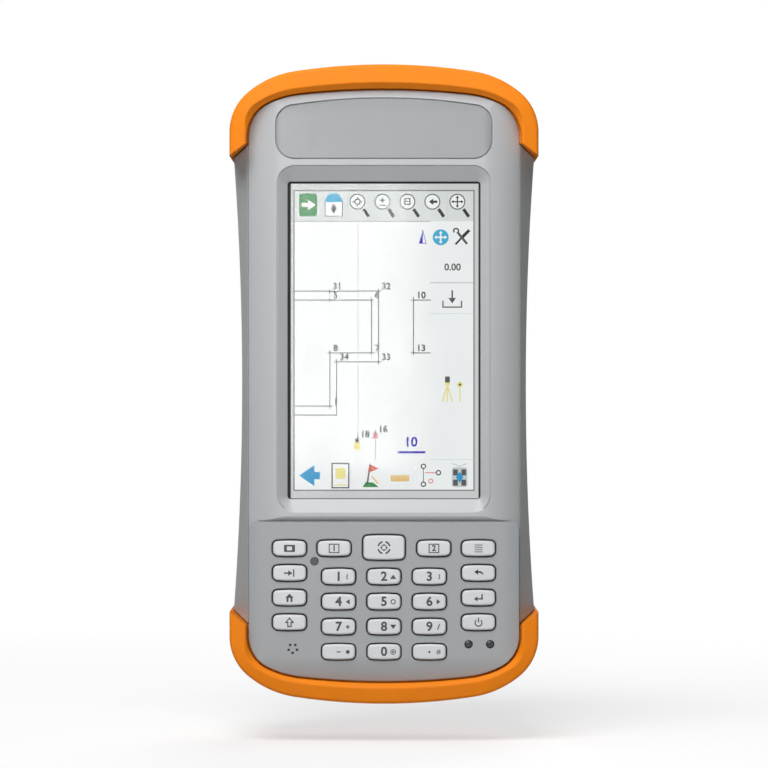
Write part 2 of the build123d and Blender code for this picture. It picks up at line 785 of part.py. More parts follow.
with BuildPart() as port_cover:
    flap_half_width = port_half_width - flap_side_gap
    flap_back = flap_axis_depth - 2.6
    with BuildSketch(layer(flap_back)):
        add(bumper_outline())
        add(bumper_outline(flap_thickness), mode=Mode.SUBTRACT)
        Rectangle(2 * flap_half_width, 12.0, align=(Align.CENTER, Align.MIN), mode=Mode.INTERSECT)
    extrude(amount=flap_back - port_front - flap_side_gap)
    # Hinge bead along the rear edge, joined by a thin web
    with BuildSketch(Plane.YZ.offset(-flap_half_width)):
        with Locations((y_at(flap_axis_depth), flap_axis_z)):
            Circle(0.9)
            Rectangle(2.8, 0.8, align=(Align.MAX, Align.CENTER))
    extrude(amount=2 * flap_half_width)


# ---------------------------------------------------------------- battery and its door

with BuildPart() as battery_pack:
    with BuildSketch(layer(door_floor - battery_gap)):
        with Locations((0, bay_middle)):
            Rectangle(2 * (bay_half_width - 2 * battery_gap), bay_top - bay_bottom - 2.0)
    extrude(amount=door_floor - bay_floor - 2 * battery_gap)
    fillet(battery_pack.edges().filter_by(Axis.Z), 3.0)

with BuildPart() as battery_contacts:
    with BuildSketch(Plane.XY.offset(bay_top - 0.7)):
        with Locations((0, y_at(contacts_depth))):
            with GridLocations(contact_pitch, 1.0, 4, 1):
                Circle(contact_radius)
    extrude(amount=4.5)

with BuildPart() as battery_door:
    with BuildSketch(layer(housing_back)):
        with Locations((0, door_middle)):
            RectangleRounded(2 * door_half_width, door_top - door_bottom, door_corner)
    extrude(amount=housing_back - door_inner)
    # Two tabs hook under the housing at the top edge
    tab_thickness = 0.8
    with BuildSketch(layer(door_inner + tab_thickness)):
        with Locations((-tab_x, door_top - 1), (tab_x, door_top - 1)):
            Rectangle(tab_width, 2.5, align=(Align.CENTER, Align.MIN))
    extrude(amount=tab_thickness)
    # Shallow label panel, and seats for the two fasteners
    with BuildSketch(layer(housing_back)):
        with Locations((0, 92)):
            RectangleRounded(50.0, 58.0, 3.0)
    extrude(amount=0.4, mode=Mode.SUBTRACT)
    with BuildSketch(layer(housing_back)):
        with Locations(*fastener_at):
            Circle(fastener_seat_radius)
    extrude(amount=housing_back - fastener_seat, mode=Mode.SUBTRACT)
    with BuildSketch(layer(housing_back)):
        with Locations(*fastener_at):
            Circle(fastener_hole)
    extrude(amount=housing_back - door_inner, mode=Mode.SUBTRACT)

with BuildPart() as door_seal:
    seal_width = 2.0
    reach = 2 * (seal_width + 0.4)
    with BuildSketch(layer(door_inner)):
        with Locations((0, bay_middle)):
            add(frame_sketch(2 * bay_half_width + reach, bay_top - bay_bottom + reach, seal_width, 3.0))
    extrude(amount=door_inner - door_floor - rest_gap)


def door_fastener(place):
    """A quarter-turn fastener with a coin slot, level when it is locked."""
    head_front, head_back = fastener_seat + rest_gap, housing_back + 0.4
    with BuildPart() as fastener:
        with BuildSketch(layer(head_back)):
            with Locations(place):
                Circle(fastener_seat_radius - 0.2)
        extrude(amount=head_back - head_front)
        fillet(fastener.faces().filter_by(Axis.Y).sort_by(Axis.Y)[-1].edges(), 0.4)
        with BuildSketch(layer(head_back)):
            with Locations(place):
                SlotOverall(6.4, 1.4)
        extrude(amount=0.9, mode=Mode.SUBTRACT)
        with BuildSketch(layer(head_front)):
            with Locations(place):
                Circle(fastener_hole - 0.1)
        extrude(amount=head_front - door_floor + 3.2)
    return fastener


# ---------------------------------------------------------------- hand strap

strap_middle_z = (strap_top_z + strap_bottom_z) / 2
pin_y = y_at(strap_pin_depth)

with BuildPart() as hand_strap:
    with BuildSketch(Plane.YZ.offset(-strap_half_width)):
        outer_y = y_at(overall_depth)
        half = strap_thickness / 2
        with BuildLine():
            outer = ThreePointArc(
                (pin_y + half, strap_top_z), (outer_y, strap_middle_z), (pin_y + half, strap_bottom_z)
            )
            foot = Line(outer @ 1, (pin_y - half, strap_bottom_z))
            inner = ThreePointArc(
                foot @ 1, (outer_y - strap_thickness, strap_middle_z), (pin_y - half, strap_top_z)
            )
            Line(inner @ 1, outer @ 0)
        make_face()
        with Locations((pin_y, strap_top_z), (pin_y, strap_bottom_z)):
            Circle(loop_radius)
            Circle(loop_bore, mode=Mode.SUBTRACT)
    extrude(amount=2 * strap_half_width)


def strap_bracket(plate_bottom, plate_top, screw_z):
    """A plate on the back of the housing with a sunk seat for each of its two screws."""
    with BuildPart() as bracket:
        with BuildSketch(layer(bracket_back)):
            with Locations((0, (plate_bottom + plate_top) / 2)):
                RectangleRounded(48.0, plate_top - plate_bottom, 3.0)
        extrude(amount=bracket_back - housing_back)
        for radius, depth in ((1.6, bracket_back - housing_back), (2.9, 1.2)):
            with BuildSketch(layer(bracket_back)):
                with Locations((-bracket_screw_x, screw_z), (bracket_screw_x, screw_z)):
                    Circle(radius)
            extrude(amount=depth, mode=Mode.SUBTRACT)
    return bracket.part


with BuildPart() as strap_bracket_top:
    add(strap_bracket(*top_bracket))
    for side in (-1, 1):
        with BuildSketch(Plane.YZ.offset(side * 22.0 - 1.25)):
            with Locations((pin_y, strap_top_z)):
                Circle(2.8)
                Rectangle(strap_pin_depth - bracket_back + 1, 5.6, align=(Align.MAX, Align.CENTER))
                Circle(pin_radius + 0.01, mode=Mode.SUBTRACT)
        extrude(amount=2.5)

with BuildPart() as strap_bracket_bottom:
    add(strap_bracket(*bottom_bracket))
    # Ears on both sides of the hook
    ear_back = 46.0
    with BuildSketch(layer(ear_back)):
        with Locations((-22.9, 23.0), (22.9, 23.0)):
            Rectangle(2.0, 9.0)
    extrude(amount=ear_back - bracket_back + 1)

with BuildPart() as strap_pin:
    with BuildSketch(Plane.YZ.offset(-23.2)):
        with Locations((pin_y, strap_top_z)):
            Circle(pin_radius)
    extrude(amount=46.4)

with BuildPart() as strap_hook:
    with BuildSketch(Plane.YZ.offset(-20.0)):
        with Locations((pin_y, strap_bottom_z)):
            Circle(pin_radius)
    extrude(amount=40.0)
    for side in (-1, 1):
        with BuildSketch(Plane.YZ.offset(side * 20.5 - 0.9)):
            with Locations((pin_y, strap_bottom_z)):
                Circle(2.4)
            with BuildLine():
                Polyline(
                    (pin_y - 2.4, strap_bottom_z),
                    (pin_y + 2.4, strap_bottom_z),
                    (y_at(45.4), 18.5),
                    (y_at(42.4), 18.5),
                    close=True,
                )
            make_face()
        extrude(amount=1.8)
    with BuildSketch(layer(45.4)):
        with Locations((0, 18.5)):
            Rectangle(42.8, 7.5, align=(Align.CENTER, Align.MIN))
    extrude(amount=3.0)

with BuildPart() as bracket_screws:
    bracket_head_back = bracket_back - 0.1
    with BuildSketch(layer(bracket_head_back)):
        with Locations(*bracket_screw_places):
            Circle(bracket_head_radius)
    extrude(amount=1.1)
    with BuildSketch(layer(bracket_head_back - 1.1)):
        with Locations(*bracket_screw_places):
            Circle(bracket_screw_radius)
    extrude(amount=7.0)
    with BuildSketch(layer(bracket_head_back)):
        with Locations(*bracket_screw_places):
            RegularPolygon(bracket_screw_radius, 6)
    extrude(amount=0.8, mode=Mode.SUBTRACT)


# ---------------------------------------------------------------- write the pieces

os.makedirs("parts", exist_ok=True)
pieces = {
    "front_case": front_case,
    "name_panel": name_panel,
    "keypad_bezel": keypad_bezel,
    "keypad_mat": keypad_mat,
    "key_domes": key_domes,
    "keypad_board": keypad_board,
    "sensor_window": sensor_window,
    "indicator_lenses": indicator_lenses,
    "speaker": speaker,
    "screen_gasket": screen_gasket,
    "cover_glass": cover_glass,
    "display_module": display_module,
    "display_chassis": display_chassis,
    "main_board": main_board,
    "shield_cans": shield_cans,
    "satellite_antenna": satellite_antenna,
    "housing": housing,
    "case_seal": case_seal,
    "case_screws": case_screws,
    "bracket_inserts": bracket_inserts,
    "top_bumper": top_bumper,
    "bottom_bumper": bottom_bumper,
    "connector_block": connector_block,
    "port_cover": port_cover,
    "battery_pack": battery_pack,
    "battery_contacts": battery_contacts,
    "battery_door": battery_door,
    "door_seal": door_seal,
    "door_fastener_left": door_fastener(fastener_at[0]),
    "door_fastener_right": door_fastener(fastener_at[1]),
    "hand_strap": hand_strap,
    "strap_hook": strap_hook,
    "strap_pin": strap_pin,
    "strap_bracket_top": strap_bracket_top,
    "strap_bracket_bottom": strap_bracket_bottom,
    "bracket_screws": bracket_screws,
}
for name, (place, size) in keys.items():
    pieces[name] = key_cap(place, size)
for name, piece in pieces.items():
    piece.part.label = name
    export_step(piece.part, f"parts/{name}.step")
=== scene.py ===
"""Looks for the handheld data collector. Lengths in the code are millimetres until they become mesh."""

import math

import bmesh
import bpy
from mathutils import Matrix, Vector, noise


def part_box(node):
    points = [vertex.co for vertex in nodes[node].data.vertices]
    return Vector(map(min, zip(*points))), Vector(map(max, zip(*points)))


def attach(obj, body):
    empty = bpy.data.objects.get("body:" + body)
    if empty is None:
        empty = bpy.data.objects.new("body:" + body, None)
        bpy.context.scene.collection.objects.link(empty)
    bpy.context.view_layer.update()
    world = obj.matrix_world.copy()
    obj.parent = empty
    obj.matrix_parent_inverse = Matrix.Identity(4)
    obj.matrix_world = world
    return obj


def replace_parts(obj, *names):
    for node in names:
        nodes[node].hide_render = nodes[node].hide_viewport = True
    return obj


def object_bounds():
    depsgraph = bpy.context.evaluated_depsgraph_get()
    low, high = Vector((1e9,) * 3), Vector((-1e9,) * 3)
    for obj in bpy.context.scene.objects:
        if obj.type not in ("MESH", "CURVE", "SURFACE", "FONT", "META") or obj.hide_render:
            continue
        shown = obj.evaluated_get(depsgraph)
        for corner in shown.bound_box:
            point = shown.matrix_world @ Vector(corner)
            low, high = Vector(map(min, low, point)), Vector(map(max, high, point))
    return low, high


MM = 0.001
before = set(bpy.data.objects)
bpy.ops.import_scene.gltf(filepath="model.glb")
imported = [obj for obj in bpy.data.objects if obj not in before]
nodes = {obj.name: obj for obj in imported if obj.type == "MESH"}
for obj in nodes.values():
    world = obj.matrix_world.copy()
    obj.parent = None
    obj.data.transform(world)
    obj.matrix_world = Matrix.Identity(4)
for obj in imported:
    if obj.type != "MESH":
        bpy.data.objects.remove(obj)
scene = bpy.context.scene
cad_box = [list(corner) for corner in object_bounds()]


def box_mm(node):
    """Lowest and highest corner of a CAD node, in millimetres."""
    low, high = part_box(node)
    return low / MM, high / MM


def centre_mm(node):
    return sum(box_mm(node), Vector()) / 2


# -------- shader graphs


class Graph:
    """A node tree, with short calls for the nodes that most surfaces share."""

    def __init__(self, name, owner=None):
        self.material = owner or bpy.data.materials.new(name)
        self.material.use_nodes = True
        self.tree = self.material.node_tree
        self.tree.nodes.clear()
        self.place = self.add("TexCoord").outputs["Object"]

    def add(self, kind, inputs=None, **settings):
        node = self.tree.nodes.new(f"ShaderNode{kind}")
        for key, value in settings.items():
            setattr(node, key, value)
        for key, value in (inputs or {}).items():
            if isinstance(value, bpy.types.NodeSocket):
                self.tree.links.new(value, node.inputs[key])
            else:
                node.inputs[key].default_value = value
        return node

    def noise(self, size, detail=3.0, stretch=(1, 1, 1), roughness=0.5):
        """Noise whose blobs are about size millimetres across, stretched along the axes."""
        place = self.add("VectorMath", {0: self.place, 1: stretch}, operation="MULTIPLY").outputs[0]
        inputs = {"Vector": place, "Scale": 1 / (size * MM), "Detail": detail, "Roughness": roughness}
        return self.add("TexNoise", inputs).outputs["Fac"]

    def cells(self, size):
        """Distance to the nearest of scattered points, about size millimetres apart."""
        inputs = {"Vector": self.place, "Scale": 1 / (size * MM)}
        return self.add("TexVoronoi", inputs).outputs["Distance"]

    def ramp(self, value, low, high, to_low=0.0, to_high=1.0):
        inputs = {"Value": value, "From Min": low, "From Max": high, "To Min": to_low, "To Max": to_high}
        return self.add("MapRange", inputs).outputs["Result"]

    def math(self, operation, a, b=0.0):
        return self.add("Math", {0: a, 1: b}, operation=operation).outputs[0]

    def times(self, a, b):
        return self.math("MULTIPLY", a, b)

    def plus(self, a, b):
        return self.math("ADD", a, b)

    def mix(self, factor, a, b):
        colours = [v if isinstance(v, bpy.types.NodeSocket) else (*v, 1.0) for v in (a, b)]
        inputs = {0: factor, 6: colours[0], 7: colours[1]}
        return self.add("Mix", inputs, data_type="RGBA").outputs[2]

    def rounded(self, radius):
        """(normal softened over radius millimetres at edges, mask of those edges)."""
        soft = self.add("Bevel", {"Radius": radius * MM}, samples=4).outputs["Normal"]
        true = self.add("NewGeometry").outputs["Normal"]
        same = self.add("VectorMath", {0: soft, 1: true}, operation="DOT_PRODUCT")
        return soft, self.ramp(same.outputs["Value"], 0.90, 0.995, 1.0, 0.0)

    def bump(self, height, depth, normal=None):
        """Normal of a relief that is depth millimetres deep."""
        inputs = {"Height": height, "Distance": depth * MM, "Strength": 1.0}
        if normal is not None:
            inputs["Normal"] = normal
        return self.add("Bump", inputs).outputs["Normal"]

    def surface(self, base, rough, normal=None, more=None):
        """Finishes the material with one Principled shader; more holds its less common inputs."""
        inputs = {"Base Color": base, "Roughness": rough, **(more or {})}
        if normal is not None:
            inputs["Normal"] = normal
        return self.output(self.add("BsdfPrincipled", inputs).outputs[0])

    def output(self, shader):
        self.add("OutputMaterial", {"Surface": shader})
        return self.material


def shade(colour, factor):
    return tuple(c * factor for c in colour)


def moulded(name, colour, grain=0.35, depth=0.012, roughness=0.42, edge=0.3, wear=0.25):
    """Moulded plastic: spark-eroded grain, faint tone drift, and slightly polished edges painted paler,
    partly as wear and partly as a painted highlight.
    """
    g = Graph(name)
    soft, edges = g.rounded(edge)
    drift = g.noise(38.0, 2.0)
    speck = g.noise(grain * 1.7, 2.0)
    scuff = g.ramp(g.noise(2.2, 6.0, stretch=(1, 1, 0.25)), 0.55, 0.8)
    base = g.mix(drift, shade(colour, 0.955), shade(colour, 1.035))
    base = g.mix(g.ramp(speck, 0.35, 0.75, 0.0, 0.35), base, shade(colour, 0.93))
    # Paler edges: partly real wear, partly a painted highlight along every rounded edge; wear sets how strong
    # it is.
    edge_wear_and_highlight = g.times(edges, g.ramp(g.noise(1.4, 4.0), 0.35, 0.7))
    base = g.mix(g.times(edge_wear_and_highlight, wear), base, shade(colour, 1.35))
    pits = g.plus(g.cells(grain), g.times(g.noise(grain * 0.6, 3.0), 0.6))
    rough = g.plus(drift, g.times(scuff, 0.4))
    rough = g.ramp(rough, 0.3, 1.1, roughness - 0.05, roughness + 0.08)
    rough = g.math("SUBTRACT", rough, g.times(edge_wear_and_highlight, 0.10))
    return g.surface(base, rough, g.bump(pits, depth, soft), {"Specular IOR Level": 0.45})


def elastomer(name, colour, shadow):
    """Overmoulded rubber: saturated, softly mottled and satin, with its edges painted a little paler as a
    highlight.
    """
    g = Graph(name)
    soft, edges = g.rounded(0.7)
    mottle = g.noise(7.0, 4.0)
    fine = g.noise(0.5, 3.0)
    scuff = g.ramp(g.noise(1.6, 8.0, stretch=(0.35, 1, 1), roughness=0.6), 0.60, 0.78)
    base = g.mix(g.ramp(mottle, 0.3, 0.7), shade(colour, 0.97), shade(colour, 1.02))
    base = g.mix(g.times(scuff, 0.10), base, shadow)
    # Painted highlight: every rounded edge is mixed towards a paler orange.
    base = g.mix(g.times(edges, 0.16), base, shade(colour, 1.25))
    rough = g.plus(g.ramp(mottle, 0.3, 0.7, 0.54, 0.64), g.times(scuff, 0.12))
    height = g.plus(g.times(fine, 0.5), g.cells(0.4))
    more = {
        "Specular IOR Level": 0.22,
        "Subsurface Weight": 0.06,
        "Subsurface Radius": (1.0, 0.35, 0.1),
        "Subsurface Scale": 1.2 * MM,
    }
    return g.surface(base, rough, g.bump(height, 0.010, soft), more)


def key_plastic(name, colour, skirt, face_y):
    """Hard-capped key: pale satin cap, and back from its rounded front edge a dark skirt, partly silicone and
    partly painted shade in the key's gap.
    """
    g = Graph(name)
    soft, edges = g.rounded(0.25)
    y = g.add("SeparateXYZ", {0: g.place}).outputs["Y"]
    # Painted shade: from 1 mm back from the cap's front the key turns dark, a silicone skirt that also
    # darkens the gap round it.
    skirt_and_gap_shade = g.ramp(y, (face_y + 1.0) * MM, (face_y + 1.25) * MM)
    drift = g.noise(6.0, 2.0)
    cap = g.mix(drift, shade(colour, 0.96), shade(colour, 1.03))
    # Painted highlight: the cap's rounded edges are mixed towards a paler grey.
    cap = g.mix(g.times(edges, 0.25), cap, shade(colour, 1.12))
    grease = g.ramp(g.noise(2.6, 5.0), 0.45, 0.7)
    rough = g.plus(g.plus(0.30, g.times(grease, 0.08)), g.times(skirt_and_gap_shade, 0.3))
    more = {"Subsurface Weight": 0.05, "Subsurface Scale": 0.6 * MM}
    return g.surface(g.mix(skirt_and_gap_shade, cap, skirt), rough, g.bump(g.noise(0.22, 2.0), 0.006, soft), more)


def metal(name, colour, roughness=0.3, stretch=(1, 1, 12), wear=0.15):
    """Drawn or turned metal: fine lines along one axis, and a few dull patches."""
    g = Graph(name)
    soft, edges = g.rounded(0.12)
    lines = g.noise(1.2, 5.0, stretch=stretch)
    dull = g.ramp(g.noise(3.0, 4.0), 0.45, 0.75)
    base = g.mix(lines, shade(colour, 0.86), shade(colour, 1.05))
    base = g.mix(g.times(dull, wear), base, shade(colour, 0.55))
    # Painted highlight: every rounded edge is mixed towards a paler metal.
    base = g.mix(g.times(edges, 0.4), base, shade(colour, 1.3))
    rough = g.ramp(lines, 0.3, 0.7, roughness - 0.06, roughness + 0.08)
    rough = g.plus(rough, g.times(dull, 0.12))
    return g.surface(base, rough, g.bump(lines, 0.004, soft), {"Metallic": 1.0})


def rubber(name, colour, roughness=0.7):
    """Plain seal rubber with a faint bloom."""
    g = Graph(name)
    bloom = g.ramp(g.noise(3.0, 5.0), 0.4, 0.75)
    base = g.mix(g.times(bloom, 0.5), colour, shade(colour, 2.2))
    rough = g.plus(roughness - 0.08, g.times(bloom, 0.16))
    return g.surface(base, rough, g.bump(g.noise(0.3, 3.0), 0.01))


def circuit_board(name):
    """Green solder mask with copper tracks under it and gold pads."""
    g = Graph(name)
    turned = g.add("Mapping", {"Vector": g.place, "Rotation": (math.pi / 2, 0, 0)}).outputs[0]
    layout = {"Vector": turned, "Scale": 900.0, "Mortar Size": 0.12, "Brick Width": 1.6, "Row Height": 0.5}
    tracks = g.add("TexBrick", layout).outputs["Fac"]
    pads = g.ramp(g.cells(1.6), 0.10, 0.14, 1.0, 0.0)
    base = g.mix(tracks, (0.008, 0.075, 0.030), (0.016, 0.125, 0.052))
    base = g.mix(g.noise(9.0, 3.0), base, (0.012, 0.10, 0.045))
    base = g.mix(pads, base, (0.80, 0.55, 0.20))
    rough = g.ramp(g.noise(4.0, 3.0), 0.3, 0.7, 0.22, 0.38)
    return g.surface(base, rough, g.bump(tracks, 0.03), {"Metallic": pads})


def dark_lens(name, colour):
    """Smoked plastic over a sensor or lamp."""
    g = Graph(name)
    cloud = g.noise(0.8, 3.0)
    soft, _ = g.rounded(0.15)
    base = g.mix(cloud, shade(colour, 0.8), shade(colour, 1.4))
    return g.surface(base, g.ramp(cloud, 0.3, 0.7, 0.10, 0.22), soft, {"Coat Weight": 0.4})


def clear_glass(name):
    """Coated touch glass: see-through, with a weak Fresnel reflection and faint smears."""
    g = Graph(name)
    smear = g.ramp(g.noise(14.0, 6.0, stretch=(1, 1, 0.5), roughness=0.6), 0.45, 0.75)
    rough = g.ramp(smear, 0.0, 1.0, 0.05, 0.16)
    clear = g.add("BsdfTransparent", {"Color": (0.97, 0.98, 0.98, 1)}).outputs[0]
    shine = g.add("BsdfGlossy", {"Color": (1, 1, 1, 1), "Roughness": rough}).outputs[0]
    fresnel = g.add("Fresnel", {"IOR": 1.45}).outputs[0]
    mixed = g.add("MixShader", {0: g.times(fresnel, 0.18), 1: clear, 2: shine})
    return g.output(mixed.outputs[0])


def lit(name, colour):
    """A colour of the display's picture, with the backlight's slow drift and a faint pixel grain."""
    g = Graph(name)
    drift = g.ramp(g.noise(45.0, 1.0), 0.3, 0.7, 0.97, 1.0)
    grain = g.ramp(g.noise(0.25, 1.0), 0.3, 0.7, 0.985, 1.0)
    glow = {"Emission Color": (*colour, 1), "Emission Strength": g.times(drift, grain)}
    return g.surface((0.02, 0.02, 0.02, 1), 0.6, more={"Specular IOR Level": 0.1, **glow})


def ink(name, colour):
    """Printed legend: matt ink with slightly uneven cover."""
    g = Graph(name)
    cover = g.ramp(g.noise(0.35, 3.0), 0.35, 0.7)
    return g.surface(g.mix(cover, shade(colour, 1.5), colour), g.ramp(cover, 0, 1, 0.6, 0.45))


def webbing(name, colour, pitch=0.9):
    """Woven nylon: diagonal twill ribs across the strap, with a fibre sheen."""
    g = Graph(name)
    turned = g.add("Mapping", {"Vector": g.place, "Rotation": (0, math.radians(38), 0)})
    bands = {"Vector": turned.outputs[0], "Scale": 0.314 / (pitch * MM), "Distortion": 0.4, "Detail": 1.0}
    ribs = g.add("TexWave", bands, bands_direction="X").outputs["Fac"]
    bands = {"Vector": g.place, "Scale": 0.314 / (pitch * 0.8 * MM)}
    cross = g.add("TexWave", bands, bands_direction="Z").outputs["Fac"]
    weave = g.times(ribs, g.ramp(cross, 0, 1, 0.55, 1.0))
    fuzz = g.noise(0.25, 4.0)
    # Painted shade and highlight: darker in the valleys between the ribs, paler on their crests.
    base = g.mix(weave, shade(colour, 0.35), shade(colour, 1.25))
    base = g.mix(g.ramp(fuzz, 0.5, 0.8, 0.0, 0.4), base, shade(colour, 2.2))
    height = g.plus(weave, g.times(fuzz, 0.3))
    return g.surface(base, 0.85, g.bump(height, 0.12), {"Sheen Weight": 0.35, "Sheen Roughness": 0.5})


def knit(name, colour):
    """Spacer mesh over foam: rows of small dimples with a soft fibre sheen."""
    g = Graph(name)
    holes = g.ramp(g.cells(1.15), 0.18, 0.42)
    fuzz = g.noise(0.3, 4.0)
    # Painted shade: the dimples are darker than the mesh round them.
    base = g.mix(holes, shade(colour, 0.25), colour)
    base = g.mix(g.ramp(fuzz, 0.5, 0.85, 0.0, 0.35), base, shade(colour, 2.4))
    base = g.mix(g.ramp(g.noise(12.0, 3.0), 0.4, 0.8, 0.0, 0.3), base, shade(colour, 1.5))
    height = g.plus(holes, g.times(fuzz, 0.25))
    return g.surface(base, 0.9, g.bump(height, 0.16), {"Sheen Weight": 0.4, "Sheen Roughness": 0.45})


def thread(name, colour):
    """Twisted polyester thread."""
    g = Graph(name)
    twist = g.noise(0.16, 3.0)
    base = g.mix(twist, shade(colour, 0.6), shade(colour, 1.5))
    return g.surface(base, 0.6, g.bump(twist, 0.04), {"Sheen Weight": 0.3})


# -------- CAD nodes get their materials

key_names = [name for name in nodes if name.startswith("key_") and name != "key_domes"]
cap_y = box_mm(key_names[0])[0].y


def finish(material, *names):
    for name in names:
        nodes[name].data.materials.clear()
        nodes[name].data.materials.append(material)


finish(moulded("case_grey", (0.47, 0.485, 0.50), roughness=0.40), "front_case")
finish(moulded("panel_grey", (0.305, 0.318, 0.332), grain=0.22, depth=0.006, roughness=0.36), "name_panel")
finish(moulded("bezel_grey", (0.355, 0.372, 0.384), grain=0.25, depth=0.008, roughness=0.45), "keypad_bezel")
flank_grey = moulded("flank_grey", (0.41, 0.416, 0.418), grain=0.5, depth=0.022, roughness=0.5)
finish(flank_grey, "housing", "battery_door")
bracket_black = moulded("bracket_black", (0.022, 0.023, 0.025), grain=0.5, depth=0.02, roughness=0.5)
finish(bracket_black, "strap_bracket_top", "strap_bracket_bottom")
finish(moulded("connector_black", (0.012, 0.012, 0.013), roughness=0.35), "connector_block", "speaker")
finish(moulded("battery_black", (0.03, 0.031, 0.034), grain=0.6, roughness=0.5), "battery_pack")
ceramic = moulded("antenna_ceramic", (0.70, 0.64, 0.52), grain=0.8, depth=0.004, roughness=0.3)
finish(ceramic, "satellite_antenna")
orange = elastomer("bumper_orange", (0.88, 0.235, 0.003), (0.50, 0.14, 0.02))
finish(orange, "top_bumper", "bottom_bumper", "port_cover")
finish(key_plastic("key_pale", (0.645, 0.66, 0.68), (0.05, 0.052, 0.055), cap_y), *key_names)
steel = metal("stainless", (0.55, 0.55, 0.56))
finish(steel, "case_screws", "bracket_screws", "strap_pin", "strap_hook", "key_domes")
finish(steel, "door_fastener_left", "door_fastener_right")
finish(metal("tinned_can", (0.66, 0.66, 0.64), roughness=0.35, stretch=(8, 1, 1)), "shield_cans")
finish(metal("cast_alloy", (0.60, 0.61, 0.62), roughness=0.5, stretch=(1, 1, 1)), "display_chassis")
finish(metal("brass", (0.68, 0.46, 0.16), stretch=(1, 10, 1)), "bracket_inserts", "battery_contacts")
finish(rubber("seal_black", (0.010, 0.010, 0.011)), "screen_gasket", "case_seal", "door_seal")
finish(rubber("silicone_mat", (0.06, 0.06, 0.065)), "keypad_mat")
finish(circuit_board("board_green"), "main_board", "keypad_board")
smoked = dark_lens("smoked_lens", (0.035, 0.035, 0.038))
finish(smoked, "sensor_window", "indicator_lenses", "display_module")
finish(clear_glass("touch_glass"), "cover_glass")


# -------- mesh helpers


def add_object(name, data):
    thing = bpy.data.objects.new(name, data)
    scene.collection.objects.link(thing)
    return thing


def make_piece(mesh, name, material, body, smooth=False):
    """Turns a bmesh into a piece that rides on a body."""
    bmesh.ops.recalc_face_normals(mesh, faces=mesh.faces)
    data = bpy.data.meshes.new(name)
    mesh.to_mesh(data)
    mesh.free()
    data.materials.append(material)
    data.polygons.foreach_set("use_smooth", [smooth] * len(data.polygons))
    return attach(add_object(name, data), body)


def skin(mesh, rings, closed=False):
    """Joins rings of points, in millimetres, with quads. An open skin gets a face over each end."""
    rows = [[mesh.verts.new(point * MM) for point in ring] for ring in rings]
    following = rows[1:] + rows[:1] if closed else rows[1:]
    for row, after in zip(rows, following):
        for i in range(len(row)):
            j = (i + 1) % len(row)
            mesh.faces.new((row[i], row[j], after[j], after[i]))
    if not closed:
        mesh.faces.new(rows[0])
        mesh.faces.new(rows[-1])


# -------- flat drawings


def box_corners(x, z, width, height):
    """Corners of a rectangle with its middle at (x, z)."""
    w, h = width / 2, height / 2
    return [(x - w, z - h), (x + w, z - h), (x + w, z + h), (x - w, z + h)]


def arc_points(x, z, radius, start, end, steps):
    """Points on an arc, anticlockwise from start to end degrees."""
    turn = [math.radians(start + (end - start) * i / steps) for i in range(steps + 1)]
    return [(x + radius * math.cos(a), z + radius * math.sin(a)) for a in turn]


